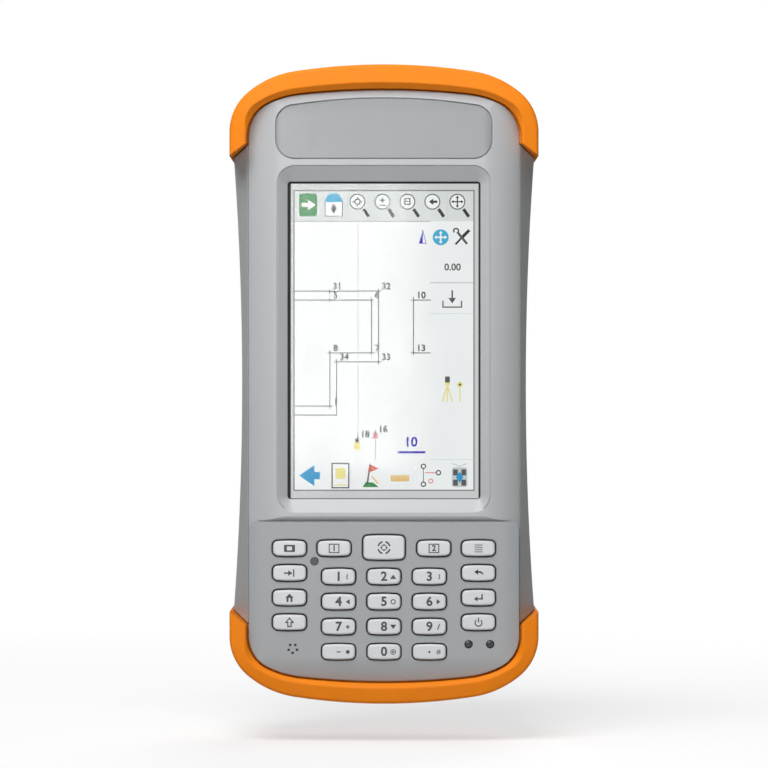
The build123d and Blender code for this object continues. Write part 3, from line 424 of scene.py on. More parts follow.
class Drawing:
    """Flat shapes in the X-Z plane, facing the user, gathered into one thin closed mesh.
    Places are millimetres from an origin; front is the Y of the visible side."""

    def __init__(self, origin, front, thickness=0.01):
        self.origin = Vector((origin[0], 0, origin[1]))
        self.front, self.thickness = front, thickness
        self.mesh = bmesh.new()

    def polygon(self, points):
        front = [self.mesh.verts.new(self.at(x, z, self.front)) for x, z in points]
        back = [self.mesh.verts.new(self.at(x, z, self.front + self.thickness)) for x, z in points]
        self.mesh.faces.new(front)
        self.mesh.faces.new(reversed(back))
        for i in range(len(points)):
            j = (i + 1) % len(points)
            self.mesh.faces.new((front[j], front[i], back[i], back[j]))
        return self

    def at(self, x, z, y):
        return (self.origin + Vector((x, y, z))) * MM

    def rectangle(self, x, z, width, height):
        return self.polygon(box_corners(x, z, width, height))

    def rounded(self, x, z, width, height, radius, steps=6):
        w, h = width / 2 - radius, height / 2 - radius
        points = []
        for quarter, (side, up) in enumerate(((1, 1), (-1, 1), (-1, -1), (1, -1))):
            start = 90 * quarter
            points += arc_points(x + side * w, z + up * h, radius, start, start + 90, steps)
        return self.polygon(points)

    def disc(self, x, z, radius, steps=28):
        return self.polygon(arc_points(x, z, radius, 0, 360, steps)[1:])

    def arc(self, x, z, outer, inner, start=0.0, end=360.0, steps=36):
        """A band between two radii, from start to end degrees."""
        count = max(2, round(steps * abs(end - start) / 360))
        far, near = (arc_points(x, z, radius, start, end, count) for radius in (outer, inner))
        for corners in zip(far, far[1:], near[1:], near):
            self.polygon(corners)
        return self

    def stroke(self, width, *points):
        """A polyline with square ends that reach half a width past its points."""
        for (ax, az), (bx, bz) in zip(points, points[1:]):
            along = Vector((bx - ax, bz - az)).normalized() * (width / 2)
            across = Vector((-along.y, along.x))
            start, end = Vector((ax, az)) - along, Vector((bx, bz)) + along
            self.polygon([start + across, start - across, end - across, end + across])
        return self

    def frame(self, x, z, width, height, line):
        corners = box_corners(x, z, width, height)
        return self.stroke(line, *corners, corners[0])

    def number(self, digits, x, z, height, bold=0.036):
        """Digits centred on a point. Bold is how far their outline grows, as a share of their height."""
        curve = bpy.data.curves.new("digits", "FONT")
        curve.body = digits
        curve.size = height / 0.70 * MM
        curve.extrude = self.thickness / 2 * MM
        curve.offset = height * bold * MM
        curve.align_x, curve.align_y = "CENTER", "CENTER"
        curve.resolution_u = 4
        text = bpy.data.objects.new("digits", curve)
        mesh = bpy.data.meshes.new_from_object(text)
        upright = Matrix.Rotation(math.pi / 2, 4, "X")
        mesh.transform(Matrix.Translation(self.at(x, z, self.front + self.thickness / 2)) @ upright)
        self.mesh.from_mesh(mesh)
        bpy.data.objects.remove(text)
        bpy.data.curves.remove(curve)
        bpy.data.meshes.remove(mesh)
        return self


# -------- key legends

legend_ink = ink("legend_ink", (0.045, 0.048, 0.052))
legend_grey = ink("legend_grey", (0.22, 0.225, 0.23))
UP, DOWN, LEFT, RIGHT = (0, 1), (0, -1), (-1, 0), (1, 0)


def pointer(d, x, z, way, length, half_width):
    """A solid triangle whose tip is at (x, z) and points along way."""
    dx, dz = way
    foot_x, foot_z = x - dx * length, z - dz * length
    side_x, side_z = dz * half_width, -dx * half_width
    d.polygon([(foot_x + side_x, foot_z + side_z), (x, z), (foot_x - side_x, foot_z - side_z)])


def arrow(d, x, z, size, way):
    """A pointer with its middle at (x, z)."""
    half_length = 0.36 * size
    pointer(d, x + way[0] * half_length, z + way[1] * half_length, way, 2 * half_length, size / 2)


def four_pointers(d, x, z, reach, length, half_width):
    """Pointers away from (x, z) on all four sides. Reach is how far off their tips are."""
    for way in (UP, DOWN, LEFT, RIGHT):
        pointer(d, x + way[0] * reach, z + way[1] * reach, way, length, half_width)


def plus(d, x, z, size=1.2, line=0.36):
    reach = (size - line) / 2
    d.stroke(line, (x - reach, z), (x + reach, z)).stroke(line, (x, z - reach), (x, z + reach))


film = 0.02  # how far print and the picture lie in front of what carries them
second_x = 2.85  # where a key's small second symbol is, from the key's middle


def bracket(d, side):
    """A round bracket that closes for side 1 and opens for side -1."""
    toward = 90 - 90 * side
    d.arc(second_x - side * 1.2, 0, 1.62, 1.32, toward - 32, toward + 32)


def hash_mark(d, x):
    for offset in (-0.26, 0.26):
        d.stroke(0.2, (x - 0.6, offset), (x + 0.6, offset))
        d.stroke(0.2, (x + offset - 0.12, -0.65), (x + offset + 0.12, 0.65))


seconds = {
    "1": lambda d: bracket(d, -1),
    "2": lambda d: arrow(d, second_x, 0, 1.9, UP),
    "3": lambda d: bracket(d, 1),
    "4": lambda d: arrow(d, second_x, 0, 1.7, LEFT),
    "5": lambda d: d.arc(second_x, 0, 0.82, 0.52),
    "6": lambda d: arrow(d, second_x, 0, 1.7, RIGHT),
    "7": lambda d: plus(d, second_x, 0),
    "8": lambda d: arrow(d, second_x, 0, 1.9, DOWN),
    "9": lambda d: d.stroke(0.32, (second_x - 0.25, -0.7), (second_x + 0.25, 0.7)),
    "0": lambda d: d.arc(second_x, 0, 0.85, 0.62).arc(second_x, 0, 0.42, 0.16),
}


def window_mark(d):
    d.rectangle(-1.25, 0, 0.9, 2.2).rectangle(1.25, 0, 0.9, 2.2)
    d.rectangle(0, 0.85, 1.6, 0.5).rectangle(0, -0.85, 1.6, 0.5)


def tab_mark(d):
    d.stroke(0.46, (-1.5, 0), (-0.4, 0)).stroke(0.4, (1.3, -0.95), (1.3, 0.95))
    arrow(d, 0.25, 0, 1.8, RIGHT)


def home_mark(d):
    d.polygon([(-1.35, -0.05), (1.35, -0.05), (0, 1.3)])
    d.rectangle(-0.62, -0.68, 0.62, 1.2).rectangle(0.62, -0.68, 0.62, 1.2)


def shift_mark(d):
    right_side = [(0, 1.35), (1.15, 0), (0.5, 0), (0.5, -1.3)]
    left_side = [(-x, z) for x, z in reversed(right_side)]
    d.stroke(0.34, *right_side, *left_side)


def menu_mark(d):
    for row in range(4):
        d.rectangle(0, 1.05 - 0.7 * row, 2.5, 0.42)


def back_mark(d):
    arrow(d, -0.75, 0.35, 1.7, LEFT)
    d.stroke(0.5, (-0.4, 0.35), (0.3, 0.35)).arc(0.3, -0.75, 1.35, 0.85, 20, 90)


def enter_mark(d):
    arrow(d, -0.9, -0.35, 1.6, LEFT)
    d.stroke(0.42, (-0.4, -0.35), (1.1, -0.35), (1.1, 0.95))


def power_mark(d):
    d.arc(0, -0.1, 1.25, 0.88, 130, 410).stroke(0.38, (0, 0.2), (0, 1.25))


def select_mark(d):
    for quarter in range(4):
        middle = 45 + 90 * quarter
        d.arc(0, 0, 2.1, 1.6, middle - 31, middle + 31)
    d.arc(0, 0, 0.92, 0.64)
    for side in (-1, 1):
        d.rectangle(side * 0.85, 0, 0.6, 0.28).rectangle(0, side * 0.85, 0.28, 0.6)


def program_mark(digit):
    def draw(d):
        d.frame(0, 0, 3.0, 2.6, 0.3).number(digit, 0, 0, 1.75, bold=0.045)

    return draw


marks = {
    "window": window_mark,
    "tab": tab_mark,
    "home": home_mark,
    "shift": shift_mark,
    "menu": menu_mark,
    "back": back_mark,
    "enter": enter_mark,
    "power": power_mark,
    "select": select_mark,
    "program_1": program_mark("1"),
    "program_2": program_mark("2"),
    "minus": lambda d: d.rectangle(0, 0, 1.2, 0.36).disc(second_x, 0, 0.6),
    "point": lambda d: hash_mark(d.disc(0, 0, 0.36), second_x),
}


def legend(name):
    """The printed marks on one key's cap."""
    middle, front = centre_mm(name), box_mm(name)[0].y
    d = Drawing((middle.x, middle.z), front - film, 0.06)
    symbol = name.removeprefix("key_")
    if symbol in marks:
        marks[symbol](d)
    else:
        d.number(symbol, 0, 0, 2.75, bold=0.043)
        seconds[symbol](d)
    colour = legend_grey if symbol == "menu" else legend_ink
    return make_piece(d.mesh, f"legend_{name}", colour, f"{name}_body")


for key_name in key_names:
    legend(key_name)


# -------- the display's picture

picture_front = box_mm("display_module")[0].y
screen = centre_mm("cover_glass")
screen_width, screen_height = 56.2, 93.6
left, right, top, bottom = -screen_width / 2, screen_width / 2, screen_height / 2, -screen_height / 2
bar_height, side_bar = 9.6, 13.7
panel_left = right - side_bar
layer_step = 0.011  # how far one layer of the picture lies in front of the last
icon_row_top = top - bar_height / 2 + 0.3
icon_row_bottom = bottom + bar_height / 2 - 0.2

colours = {
    "white": (0.88, 0.88, 0.88),
    "pale": (0.86, 0.87, 0.87),
    "edge": (0.60, 0.61, 0.61),
    "bar": (0.68, 0.70, 0.69),
    "line": (0.085, 0.088, 0.092),
    "faint": (0.25, 0.25, 0.26),
    "black": (0.02, 0.02, 0.025),
    "navy": (0.02, 0.01, 0.45),
    "blue": (0.02, 0.30, 0.58),
    "sky": (0.03, 0.38, 0.62),
    "green": (0.03, 0.25, 0.06),
    "yellow": (0.80, 0.72, 0.25),
    "sand": (0.80, 0.50, 0.16),
    "red": (0.65, 0.10, 0.06),
    "pink": (0.80, 0.32, 0.36),
    "silver": (0.55, 0.59, 0.60),
}
light = {name: lit(f"screen_{name}", colour) for name, colour in colours.items()}


def on_screen(layer, place=(0, 0)):
    """A drawing on the display, placed from its middle. Higher layers lie in front of lower ones."""
    return Drawing((screen.x + place[0], screen.z + place[1]), picture_front - film - layer_step * layer)


def show(drawing, name, colour):
    make_piece(drawing.mesh, f"screen_{name}", light[colour], "case")


def screen_ground():
    """Border, page, tool bars and side panel."""
    show(on_screen(0).rectangle(0, 0, screen_width + 4.4, screen_height + 8.4), "border", "edge")
    show(on_screen(1).rectangle(0, 0, screen_width, screen_height), "page", "white")
    show(on_screen(2).rectangle(0, top - bar_height / 2, screen_width, bar_height), "top_bar", "bar")
    side = on_screen(2).rectangle(right - side_bar / 2, 0, side_bar, screen_height - 2 * bar_height)
    side.rectangle(0, bottom + bar_height / 2, screen_width, bar_height)
    show(side, "side_panel", "pale")
    rim = on_screen(3).frame(0, 0, screen_width, screen_height, 0.45)
    rim.stroke(0.22, (left, top - bar_height), (panel_left, top - bar_height))
    rim.stroke(0.16, (panel_left, 18.0), (right, 18.0))
    show(rim, "rim", "faint")
    splits = on_screen(3)
    for i in range(1, 7):
        x = left + screen_width * (i + 0.15) / 7.2
        splits.stroke(0.12, (x, top - 0.5), (x, top - bar_height + 0.3))
    splits.stroke(0.12, (panel_left, bottom + bar_height), (right, bottom + bar_height))
    splits.stroke(0.12, (panel_left, 8.4), (right, 8.4))
    show(splits, "splits", "silver")


def screen_plan():
    """A building's double wall, surveyed points with their numbers, and a sight line."""
    outer, inner = 15.4, 12.6  # heights of the two top walls
    wall, line = on_screen(4), 0.3
    for east, top_z, corner_z, step, low_z in (
        (-1.7, outer, -6.7, -14.8, -23.3),
        (-3.9, inner, -3.9, -16.9, -20.5),
    ):
        corners = [(east, top_z), (east, corner_z), (step, corner_z), (step, low_z)]
        wall.stroke(line, (left, top_z), *corners, (left, low_z))
    wall.stroke(line, (panel_left, inner), (9.2, inner), (9.2, -3.9), (panel_left, -3.9))
    show(wall, "walls", "line")
    points = {
        "31": (-17.0, outer), "32": (-1.7, outer), "5": (-17.0, inner), "6": (-4.0, inner),
        "10": (9.2, inner), "8": (-16.9, -3.9), "7": (-3.9, -3.9), "13": (9.2, -3.9),
        "34": (-14.8, -6.7), "33": (-1.7, -6.7), "1": (-16.9, -20.5),
        "18": (-8.3, -30.8), "16": (-2.7, -29.2),
    }
    labels = on_screen(5)
    for digits, (x, z) in points.items():
        labels.number(digits, x + 1.2 + 0.6 * len(digits), z + 1.45, 2.0)
        plus(labels, x, z, 1.9, 0.26)
    show(labels, "points", "black")
    sight = on_screen(4)
    first_dash, dash_pitch = top - bar_height - 0.8, 1.08
    for i in range(62):
        sight.rectangle(-8.1, first_dash - dash_pitch * i, 0.26, 0.6)
    show(sight, "sight_line", "faint")
    north = on_screen(4).polygon([(10.9, 30.2), (12.1, 30.2), (12.1, 34.4)])
    north.stroke(0.2, (12.1, 34.4), (13.1, 30.3), (12.1, 30.3))
    north.number("10", 8.4, -31.8, 2.9)
    north.rectangle(8.6, -34.9, 8.6, 0.65)
    show(north, "scale", "navy")
    show(on_screen(4).stroke(0.2, (-2.7, -36.9), (-2.7, -30.2)), "heading_line", "faint")
    tip = on_screen(5)
    pointer(tip, -2.7, -27.8, UP, length=2.8, half_width=1.0)
    show(tip, "heading_tip", "pink")
    show(on_screen(5).rounded(-8.4, -32.8, 2.0, 2.8, 0.9), "station", "yellow")
    show(on_screen(6).disc(-8.4, -31.4, 0.55), "station_head", "black")


def magnifiers():
    """Five zoom tools along the top bar, each with its own sign in the glass."""
    place, step = (-8.3, icon_row_top + 1.0), 7.8
    rings, discs, handles, signs = (on_screen(layer, place) for layer in (5, 4, 4, 6))
    for i in range(5):
        x = step * i
        handles.stroke(1.0, (x + 2.2, -2.7), (x + 3.3, -4.3))
        discs.disc(x, 0, 2.3)
        rings.arc(x, 0, 2.5, 2.15)
    signs.arc(0, 0, 1.0, 0.65)
    for dx, dz in (UP, DOWN, LEFT, RIGHT):
        signs.stroke(0.3, (dx, dz), (1.4 * dx, 1.4 * dz))
    plus(signs, step, 0.5, 1.7)
    signs.stroke(0.3, (step - 0.9, -1.1), (step + 0.9, -1.1))
    signs.frame(2 * step, 0.1, 1.6, 1.8, 0.32)
    signs.stroke(0.24, (2 * step - 0.7, 0.1), (2 * step + 0.7, 0.1))
    arrow(signs, 3 * step - 0.4, 0, 2.0, LEFT)
    signs.rectangle(3 * step + 0.9, 0, 1.3, 0.7)
    plus(signs, 4 * step, 0, 3.0)
    four_pointers(signs, 4 * step, 0, reach=1.9, length=0.7, half_width=0.55)
    show(discs, "magnifier_glass", "pale")
    show(rings, "magnifier_rings", "line")
    show(handles, "magnifier_handles", "black")
    show(signs, "magnifier_signs", "black")


def top_icons():
    """Run and map tools at the left of the top bar."""
    place = (-23.7, icon_row_top)
    show(on_screen(4, place).rounded(0, 0, 5.6, 7.2, 1.0), "run", "green")
    run = on_screen(5, place).rectangle(-0.8, 0, 2.4, 1.3)
    arrow(run, 1.2, 0, 3.4, RIGHT)
    show(run, "run_arrow", "white")
    place = (-15.7, icon_row_top)
    show(on_screen(4, place).frame(0, -1.2, 5.4, 4.6, 0.3), "map_frame", "line")
    show(on_screen(4, place).rectangle(0, -1.2, 5.2, 4.4), "map_page", "white")
    show(on_screen(5, place).polygon(arc_points(0, 0.9, 2.75, 0, 180, 16)), "map_dome", "sky")
    mark = [(-1.0, -1.2), (0, -2.7), (1.0, -1.2), (0, 0.3)]
    show(on_screen(6, place).polygon(mark), "map_mark", "line")


def side_icons():
    """Pan and setup tools, the height and store buttons, and the instrument in use."""
    place = (17.7, 32.2)
    show(on_screen(4, place).disc(0, 0, 2.5), "pan", "sky")
    cross = on_screen(5, place).rectangle(0, 0, 2.6, 0.45).rectangle(0, 0, 0.45, 2.6)
    four_pointers(cross, 0, 0, reach=2.0, length=0.75, half_width=0.6)
    show(cross, "pan_arrows", "white")
    place = (24.4, 32.2)
    driver = on_screen(4, place).stroke(0.95, (1.9, 1.9), (0.3, 0.3))
    show(driver.stroke(0.6, (0, 0), (-1.9, -2.0)), "driver", "black")
    spanner = on_screen(5, place).stroke(0.75, (-1.3, 1.4), (1.3, -1.8))
    show(spanner.arc(-1.9, 2.0, 1.0, 0.5, -40, 220), "spanner", "line")
    values = on_screen(4, (21.3, 0)).number("0.00", 0.1, 22.8, 2.1)
    values.stroke(0.5, (0, 15.4), (0, 13.2))
    values.stroke(0.4, (-2.9, 12.2), (-2.9, 10.4), (2.9, 10.4), (2.9, 12.2))
    arrow(values, 0, 12.4, 2.4, DOWN)
    show(values, "side_values", "line")
    place, pole = (19.8, -15.4), 3.9
    tripod = on_screen(4, place).rectangle(0, 1.9, 1.6, 0.9)
    for spread in (-1.5, 0, 1.5):
        tripod.stroke(0.42, (0, 1.4), (spread, -3.6))
    tripod.stroke(0.4, (pole, 1.0), (pole, -3.6)).disc(pole, 1.6, 0.9)
    show(tripod, "tripod", "yellow")
    show(on_screen(5, place).rounded(0, 3.2, 1.5, 1.9, 0.3).disc(pole, 1.6, 0.4), "instrument", "line")


def bottom_icons():
    """Back, page, stake-out, measure, offset and target tools."""
    first, step = -22.9, 9.3
    places = [(first + step * i, icon_row_bottom) for i in range(6)]
    back = on_screen(4, places[0]).rectangle(1.2, 0, 3.4, 2.3)
    arrow(back, -1.2, 0, 6.6, LEFT)
    show(back, "go_back", "blue")
    place = places[1]
    show(on_screen(4, place).rectangle(0, 0, 5.0, 7.4), "page_sheet", "white")
    show(on_screen(5, place).frame(0, 0, 5.2, 7.6, 0.4), "page_frame", "line")
    note = on_screen(5, place).rounded(0, 0.7, 3.2, 3.4, 1.0).rectangle(0, -2.9, 3.8, 0.4)
    show(note, "page_note", "yellow")
    place = places[2]
    ground = [(-2.4, -3.6), (2.6, -3.6), (1.0, -2.2), (-1.4, -2.0)]
    show(on_screen(4, place).polygon(ground), "ground", "green")
    show(on_screen(5, place).stroke(0.5, (-0.9, -2.6), (-0.1, 3.4)), "stake", "line")
    show(on_screen(6, place).polygon([(-0.1, 3.5), (2.6, 2.2), (-0.4, 0.9)]), "flag", "red")
    show(on_screen(5, place).stroke(0.45, (0.6, -0.4), (2.4, -2.4)), "peg", "sand")
    place = places[3]
    show(on_screen(4, place).rounded(0, -0.8, 5.7, 2.0, 0.3), "rule", "sand")
    ticks = on_screen(5, place)
    for i in range(6):
        ticks.rectangle(-2.2 + 0.88 * i, -0.35, 0.18, 1.0)
    show(ticks, "rule_ticks", "white")
    place = places[4]
    dots = on_screen(4, place).stroke(0.22, (-2.0, 2.0), (-2.0, -1.8))
    for x, z in ((-2.0, 2.9), (-2.0, -2.7), (2.7, 0.9)):
        dots.arc(x, z, 0.85, 0.5)
    show(dots, "offset_points", "black")
    offsets = on_screen(5, place).stroke(0.25, (-1.4, 0.9), (1.7, 0.9)).arc(0.3, -1.7, 0.75, 0.5)
    show(offsets, "offset_lines", "red")
    place = (places[5][0], icon_row_bottom - 0.5)
    target = on_screen(4, place).rounded(0, 0, 4.9, 6.2, 0.9)
    show(target.stroke(0.3, (-2.2, 4.2), (0, 3.4), (2.2, 4.2)), "target_case", "silver")
    corners = on_screen(5, place)
    for x in (-1.3, 1.3):
        for z in (-1.7, 1.5):
            corners.rectangle(x, z, 1.5, 1.9)
    show(corners, "target_marks", "line")
    star = [(0, 1.8), (1.2, 0), (0, -1.8), (-1.2, 0)]
    show(on_screen(6, place).polygon(star), "target_star", "blue")


screen_ground()
screen_plan()
magnifiers()
top_icons()
side_icons()
bottom_icons()


# -------- hand strap

strap_low, strap_high = box_mm("hand_strap")
pin = centre_mm("strap_pin")
bar_z = strap_low.z + strap_high.z - pin.z
belt_half_width, belt_thickness = 18.0, 1.1
pin_wrap = 2.0  # from a pin's middle to the middle of the belt round it
lay = 0.6  # half the distance between the two layers where they lie together
belt_bow = strap_high.y - pin.y - lay - belt_thickness / 2
tail_top, tail_thickness = bar_z + 29.0, 1.0
tail_rise = belt_thickness + 0.05  # from the middle of the belt's outer layer to the tail's middle


def strap_y(z):
    """Y of the strap's middle surface, which bows out between the pin and the bar."""
    along = (2 * z - pin.z - bar_z) / (pin.z - bar_z)
    return pin.y + belt_bow * (1 - along * along)


def layer_gap(z):
    """How far each layer of the belt lies from the strap's middle surface."""
    near = min(1.0, max(0.0, min(pin.z - z, z - bar_z) / 10.0))
    return pin_wrap + (lay - pin_wrap) * near * near * (3 - 2 * near)


def half_turn(centre_z, radius, start):
    """(y, z) points half way round the pin or the bar, anticlockwise from start degrees."""
    return arc_points(pin.y, centre_z, radius, start, start + 180, 14)


def band_section(half_width, half_thickness, across=12, steps=4):
    """(x, thickness) points round a flat band with rounded edges."""
    inner = half_width - half_thickness
    points = []
    for side in (1, -1):
        points += [(side * inner * (2 * i / across - 1), side * half_thickness) for i in range(1, across)]
        for i in range(steps + 1):
            angle = math.pi * (0.5 - i / steps)
            x, high = inner + half_thickness * math.cos(angle), half_thickness * math.sin(angle)
            points.append((side * x, side * high))
    return points


def ribbon(mesh, path, half_width, thickness, closed=False):
    """A woven band along (y, z) points, a little uneven. half_width is a function of the point's number."""
    path = [Vector(point) for point in path]
    rings = []
    for i, point in enumerate(path):
        before = path[i - 1] if closed or i else point
        after = path[(i + 1) % len(path)] if closed or i + 1 < len(path) else point
        along = (after - before).normalized()
        ring = []
        for x, high in band_section(half_width(i), thickness / 2):
            high += 0.10 * noise.noise(Vector((x * 0.22, point.x * 0.3, point.y * 0.22)))
            ring.append(Vector((x, point.x + high * along.y, point.y - high * along.x)))
        rings.append(ring)
    skin(mesh, rings, closed)


def strap_piece(mesh, name, material):
    piece = make_piece(mesh, name, material, "strap", smooth=True)
    return piece


def belt(material):
    """The belt: one closed loop of webbing round the pin and the hook's bar."""
    steps = 90
    heights = [bar_z + (pin.z - bar_z) * i / steps for i in range(1, steps)]
    path = [(strap_y(z) + layer_gap(z), z) for z in heights]
    path += half_turn(pin.z, pin_wrap, 0)
    path += [(strap_y(z) - layer_gap(z), z) for z in reversed(heights)]
    path += half_turn(bar_z, pin_wrap, 180)
    mesh = bmesh.new()
    ribbon(mesh, path, lambda i: belt_half_width, belt_thickness, closed=True)
    return strap_piece(mesh, "strap_belt", material)


def tail(material):
    """The belt's free end: round the bar, then up over the outer layer to a rounded tip."""
    path = half_turn(bar_z, pin_wrap + tail_rise, 180)
    steps = 34
    heights = [bar_z + (tail_top - bar_z) * i / steps for i in range(1, steps + 1)]
    path += [(strap_y(z) + layer_gap(z) + tail_rise, z) for z in heights]
    tip_length, tip_narrowing = 5.0, 6.0

    def half_width(i):
        past = max(0.0, path[i][1] - tail_top + tip_length) / tip_length
        return belt_half_width - tip_narrowing * (1 - math.sqrt(1 - min(past, 0.99) ** 2))

    mesh = bmesh.new()
    ribbon(mesh, path, half_width, tail_thickness)
    strap_piece(mesh, "strap_tail", material)


# The padded sleeve is a sewn cover of two sheets, laid out flat on a grid, then puffed up and bent
pad_half_width, pad_half_length, pad_corner = 21.0, 33.5, 7.0
pad_columns, pad_rows, pad_border = 32, 52, 2
pad_width = pad_columns + 1  # points in a row
pad_sheet = (pad_rows + 1) * pad_width  # points in a sheet
pad_middle_z = (pin.z + bar_z) / 2 + 4.0
pad_edge, pad_padding, pad_crown = 0.55, 0.85, 0.9  # half thickness: edge, inside it, in mid-panel
pad_seams = (pad_border, 18, pad_rows - 18, pad_rows - pad_border)


def pad_point(side, row, column):
    """A point of the cover as cut and sewn: across, out from the belt, along."""
    v = pad_half_length * (2 * row / pad_rows - 1)
    over = max(0.0, abs(v) - pad_half_length + pad_corner)
    half = pad_half_width - pad_corner + math.sqrt(pad_corner**2 - over**2)
    u = half * (2 * column / pad_columns - 1)
    beside = min(1.0, max(0.0, (pad_half_width - 0.4 - abs(u)) / 2.2))
    thick = pad_edge + pad_padding * beside
    reach = abs(2 * column - pad_columns) / (pad_columns - 2 * pad_border)
    for low_row, high_row in zip(pad_seams, pad_seams[1:]):
        if low_row < row < high_row and reach < 1:
            s = (row - low_row) / (high_row - low_row)
            thick += pad_crown * math.sqrt(4 * s * (1 - s)) * (1 - reach**4)
    return Vector((u, side * thick, v))


def pad_loop(inset):
    """(row, column) pairs once round the cover, inset cells from its edge."""
    last_row, last_column = pad_rows - inset, pad_columns - inset
    loop = [(inset, c) for c in range(inset, last_column)]
    loop += [(r, last_column) for r in range(inset, last_row)]
    loop += [(last_row, c) for c in range(last_column, inset, -1)]
    return loop + [(r, inset) for r in range(last_row, inset, -1)]


def pad_faces():
    """Both sheets and the wall round them. All look outwards, so that air inside pushes the sheets apart."""
    faces = []
    for base in (0, pad_sheet):
        for row in range(pad_rows):
            for column in range(pad_columns):
                a = base + row * pad_width + column
                face = (a, a + 1, a + 1 + pad_width, a + pad_width)
                faces.append(face if base else face[::-1])
    edge = [row * pad_width + column for row, column in pad_loop(0)]
    for a, b in zip(edge, edge[1:] + edge[:1]):
        faces.append((a, b, b + pad_sheet, a + pad_sheet))
    return faces


def pad_pinned():
    """Numbers of the points that the border and the seams hold."""
    pinned = []
    for k in range(pad_sheet):
        row, column = divmod(k, pad_width)
        on_border = min(row, pad_rows - row, column, pad_columns - column) <= pad_border
        if on_border or row in pad_seams:
            pinned += [k, k + pad_sheet]
    return pinned


def puffed(points, faces):
    """The cover after a cloth simulation with air in it, run at ten times its size."""
    grown, most_move, last_step = 10 * MM, 1.5, 20
    data = bpy.data.meshes.new("cover")
    data.from_pydata([point * grown for point in points], [], faces)
    cover = add_object("cover", data)
    cover.vertex_groups.new(name="seams").add(pad_pinned(), 1.0, "REPLACE")
    settings = cover.modifiers.new("cloth", "CLOTH").settings
    settings.quality, settings.mass, settings.air_damping = 6, 0.2, 2.0
    settings.tension_stiffness = settings.compression_stiffness = 14.0
    settings.shear_stiffness, settings.bending_stiffness = 5.0, 0.2
    settings.shrink_min = -0.06
    settings.use_pressure, settings.uniform_pressure_force = True, 3.0
    settings.vertex_group_mass = "seams"
    settings.effector_weights.gravity = 0.0
    for step in range(1, last_step + 1):
        scene.frame_set(step)
    settled = cover.evaluated_get(bpy.context.evaluated_depsgraph_get()).to_mesh()
    found = [vertex.co / grown for vertex in settled.vertices]
    scene.frame_set(1)
    bpy.data.objects.remove(cover)
    rested = []
    for before, after in zip(points, found):
        move = after - before
        point = before + move * min(1.0, most_move / max(move.length, 1e-6))
        # The belt inside keeps the cover from sinking below its cut shape
        point.y = max(point.y, before.y) if before.y > 0 else min(point.y, before.y)
        rested.append(point)
    return rested


def on_strap(point):
    """Bends a flat (across, out, along) point onto the strap."""
    z = pad_middle_z + point.z
    return Vector((point.x, strap_y(z) + point.y, z))


def padded_sleeve(material):
    """The quilted sleeve round the middle of the belt. Returns its flat points, for the stitching."""
    grid = [(row, column) for row in range(pad_rows + 1) for column in range(pad_width)]
    points = [pad_point(side, row, column) for side in (1, -1) for row, column in grid]
    faces = pad_faces()
    points = puffed(points, faces)
    mesh = bmesh.new()
    corners = [mesh.verts.new(on_strap(point) * MM) for point in points]
    for face in faces:
        mesh.faces.new([corners[k] for k in face])
    sleeve = strap_piece(mesh, "strap_sleeve", material)
    sleeve.modifiers.new("finer", "SUBSURF").render_levels = 1
    return points


def sleeve_binding(material, half_width=1.0, proud=0.35):
    """The tape that binds the sleeve's edge."""
    loop = pad_loop(0)
    turns = [math.pi / 6 * k for k in range(12)]
    rings = []
    for i, (row, column) in enumerate(loop):
        here = pad_point(1, row, column)
        before, after = (pad_point(1, *loop[(i + k) % len(loop)]) for k in (-1, 1))
        outward = Vector((after.z - before.z, 0, before.x - after.x)).normalized() * half_width
        up = Vector((0, here.y + proud, 0))
        flat = Vector((here.x, 0, here.z))
        rings.append([on_strap(flat + outward * math.cos(a) + up * math.sin(a)) for a in turns])
    mesh = bmesh.new()
    skin(mesh, rings, closed=True)
    strap_piece(mesh, "strap_binding", material)


def stitch_row(mesh, points, pitch=2.3, radius=0.17):
    """Thread laid along a line: plump stitches with gaps where it dives into the cloth."""
    lengths = [0.0]
    for a, b in zip(points, points[1:]):
        lengths.append(lengths[-1] + (b - a).length)

    def at(distance):
        k = max(i for i in range(len(points) - 1) if lengths[i] <= distance)
        return points[k].lerp(points[k + 1], (distance - lengths[k]) / (lengths[k + 1] - lengths[k]))

    count = max(1, int(lengths[-1] / pitch))
    turns = [math.pi / 3 * k for k in range(6)]
    for n in range(count):
        start, end = (at(lengths[-1] * (n + edge) / count) for edge in (0.14, 0.86))
        along = (end - start).normalized()
        across = along.cross(Vector((0, 1, 0))).normalized()
        up = across.cross(along)
        rings = []
        for t, swell in ((0.0, 0.45), (0.12, 0.9), (0.5, 1.1), (0.88, 0.9), (1.0, 0.45)):
            middle = start.lerp(end, t)
            rings.append([middle + (across * math.cos(a) + up * math.sin(a)) * radius * swell for a in turns])
        skin(mesh, rings)


def sleeve_stitches(mesh, points):
    """Stitches inside the sleeve's edge and along its two cross seams, on both sheets."""
    border_lift, seam_lift = 0.10, 0.38  # the quilted fabric stands up on both sides of a cross seam
    for side, first in ((1, 0), (-1, pad_sheet)):
        ring = pad_loop(pad_border)
        lines = [(ring + ring[:1], border_lift)]
        for row in pad_seams[1:3]:
            lines.append(([(row, c) for c in range(pad_border, pad_width - pad_border)], seam_lift))
        for line, height in lines:
            lift = Vector((0, side * height, 0))
            stitch_row(mesh, [on_strap(points[first + r * pad_width + c] + lift) for r, c in line])


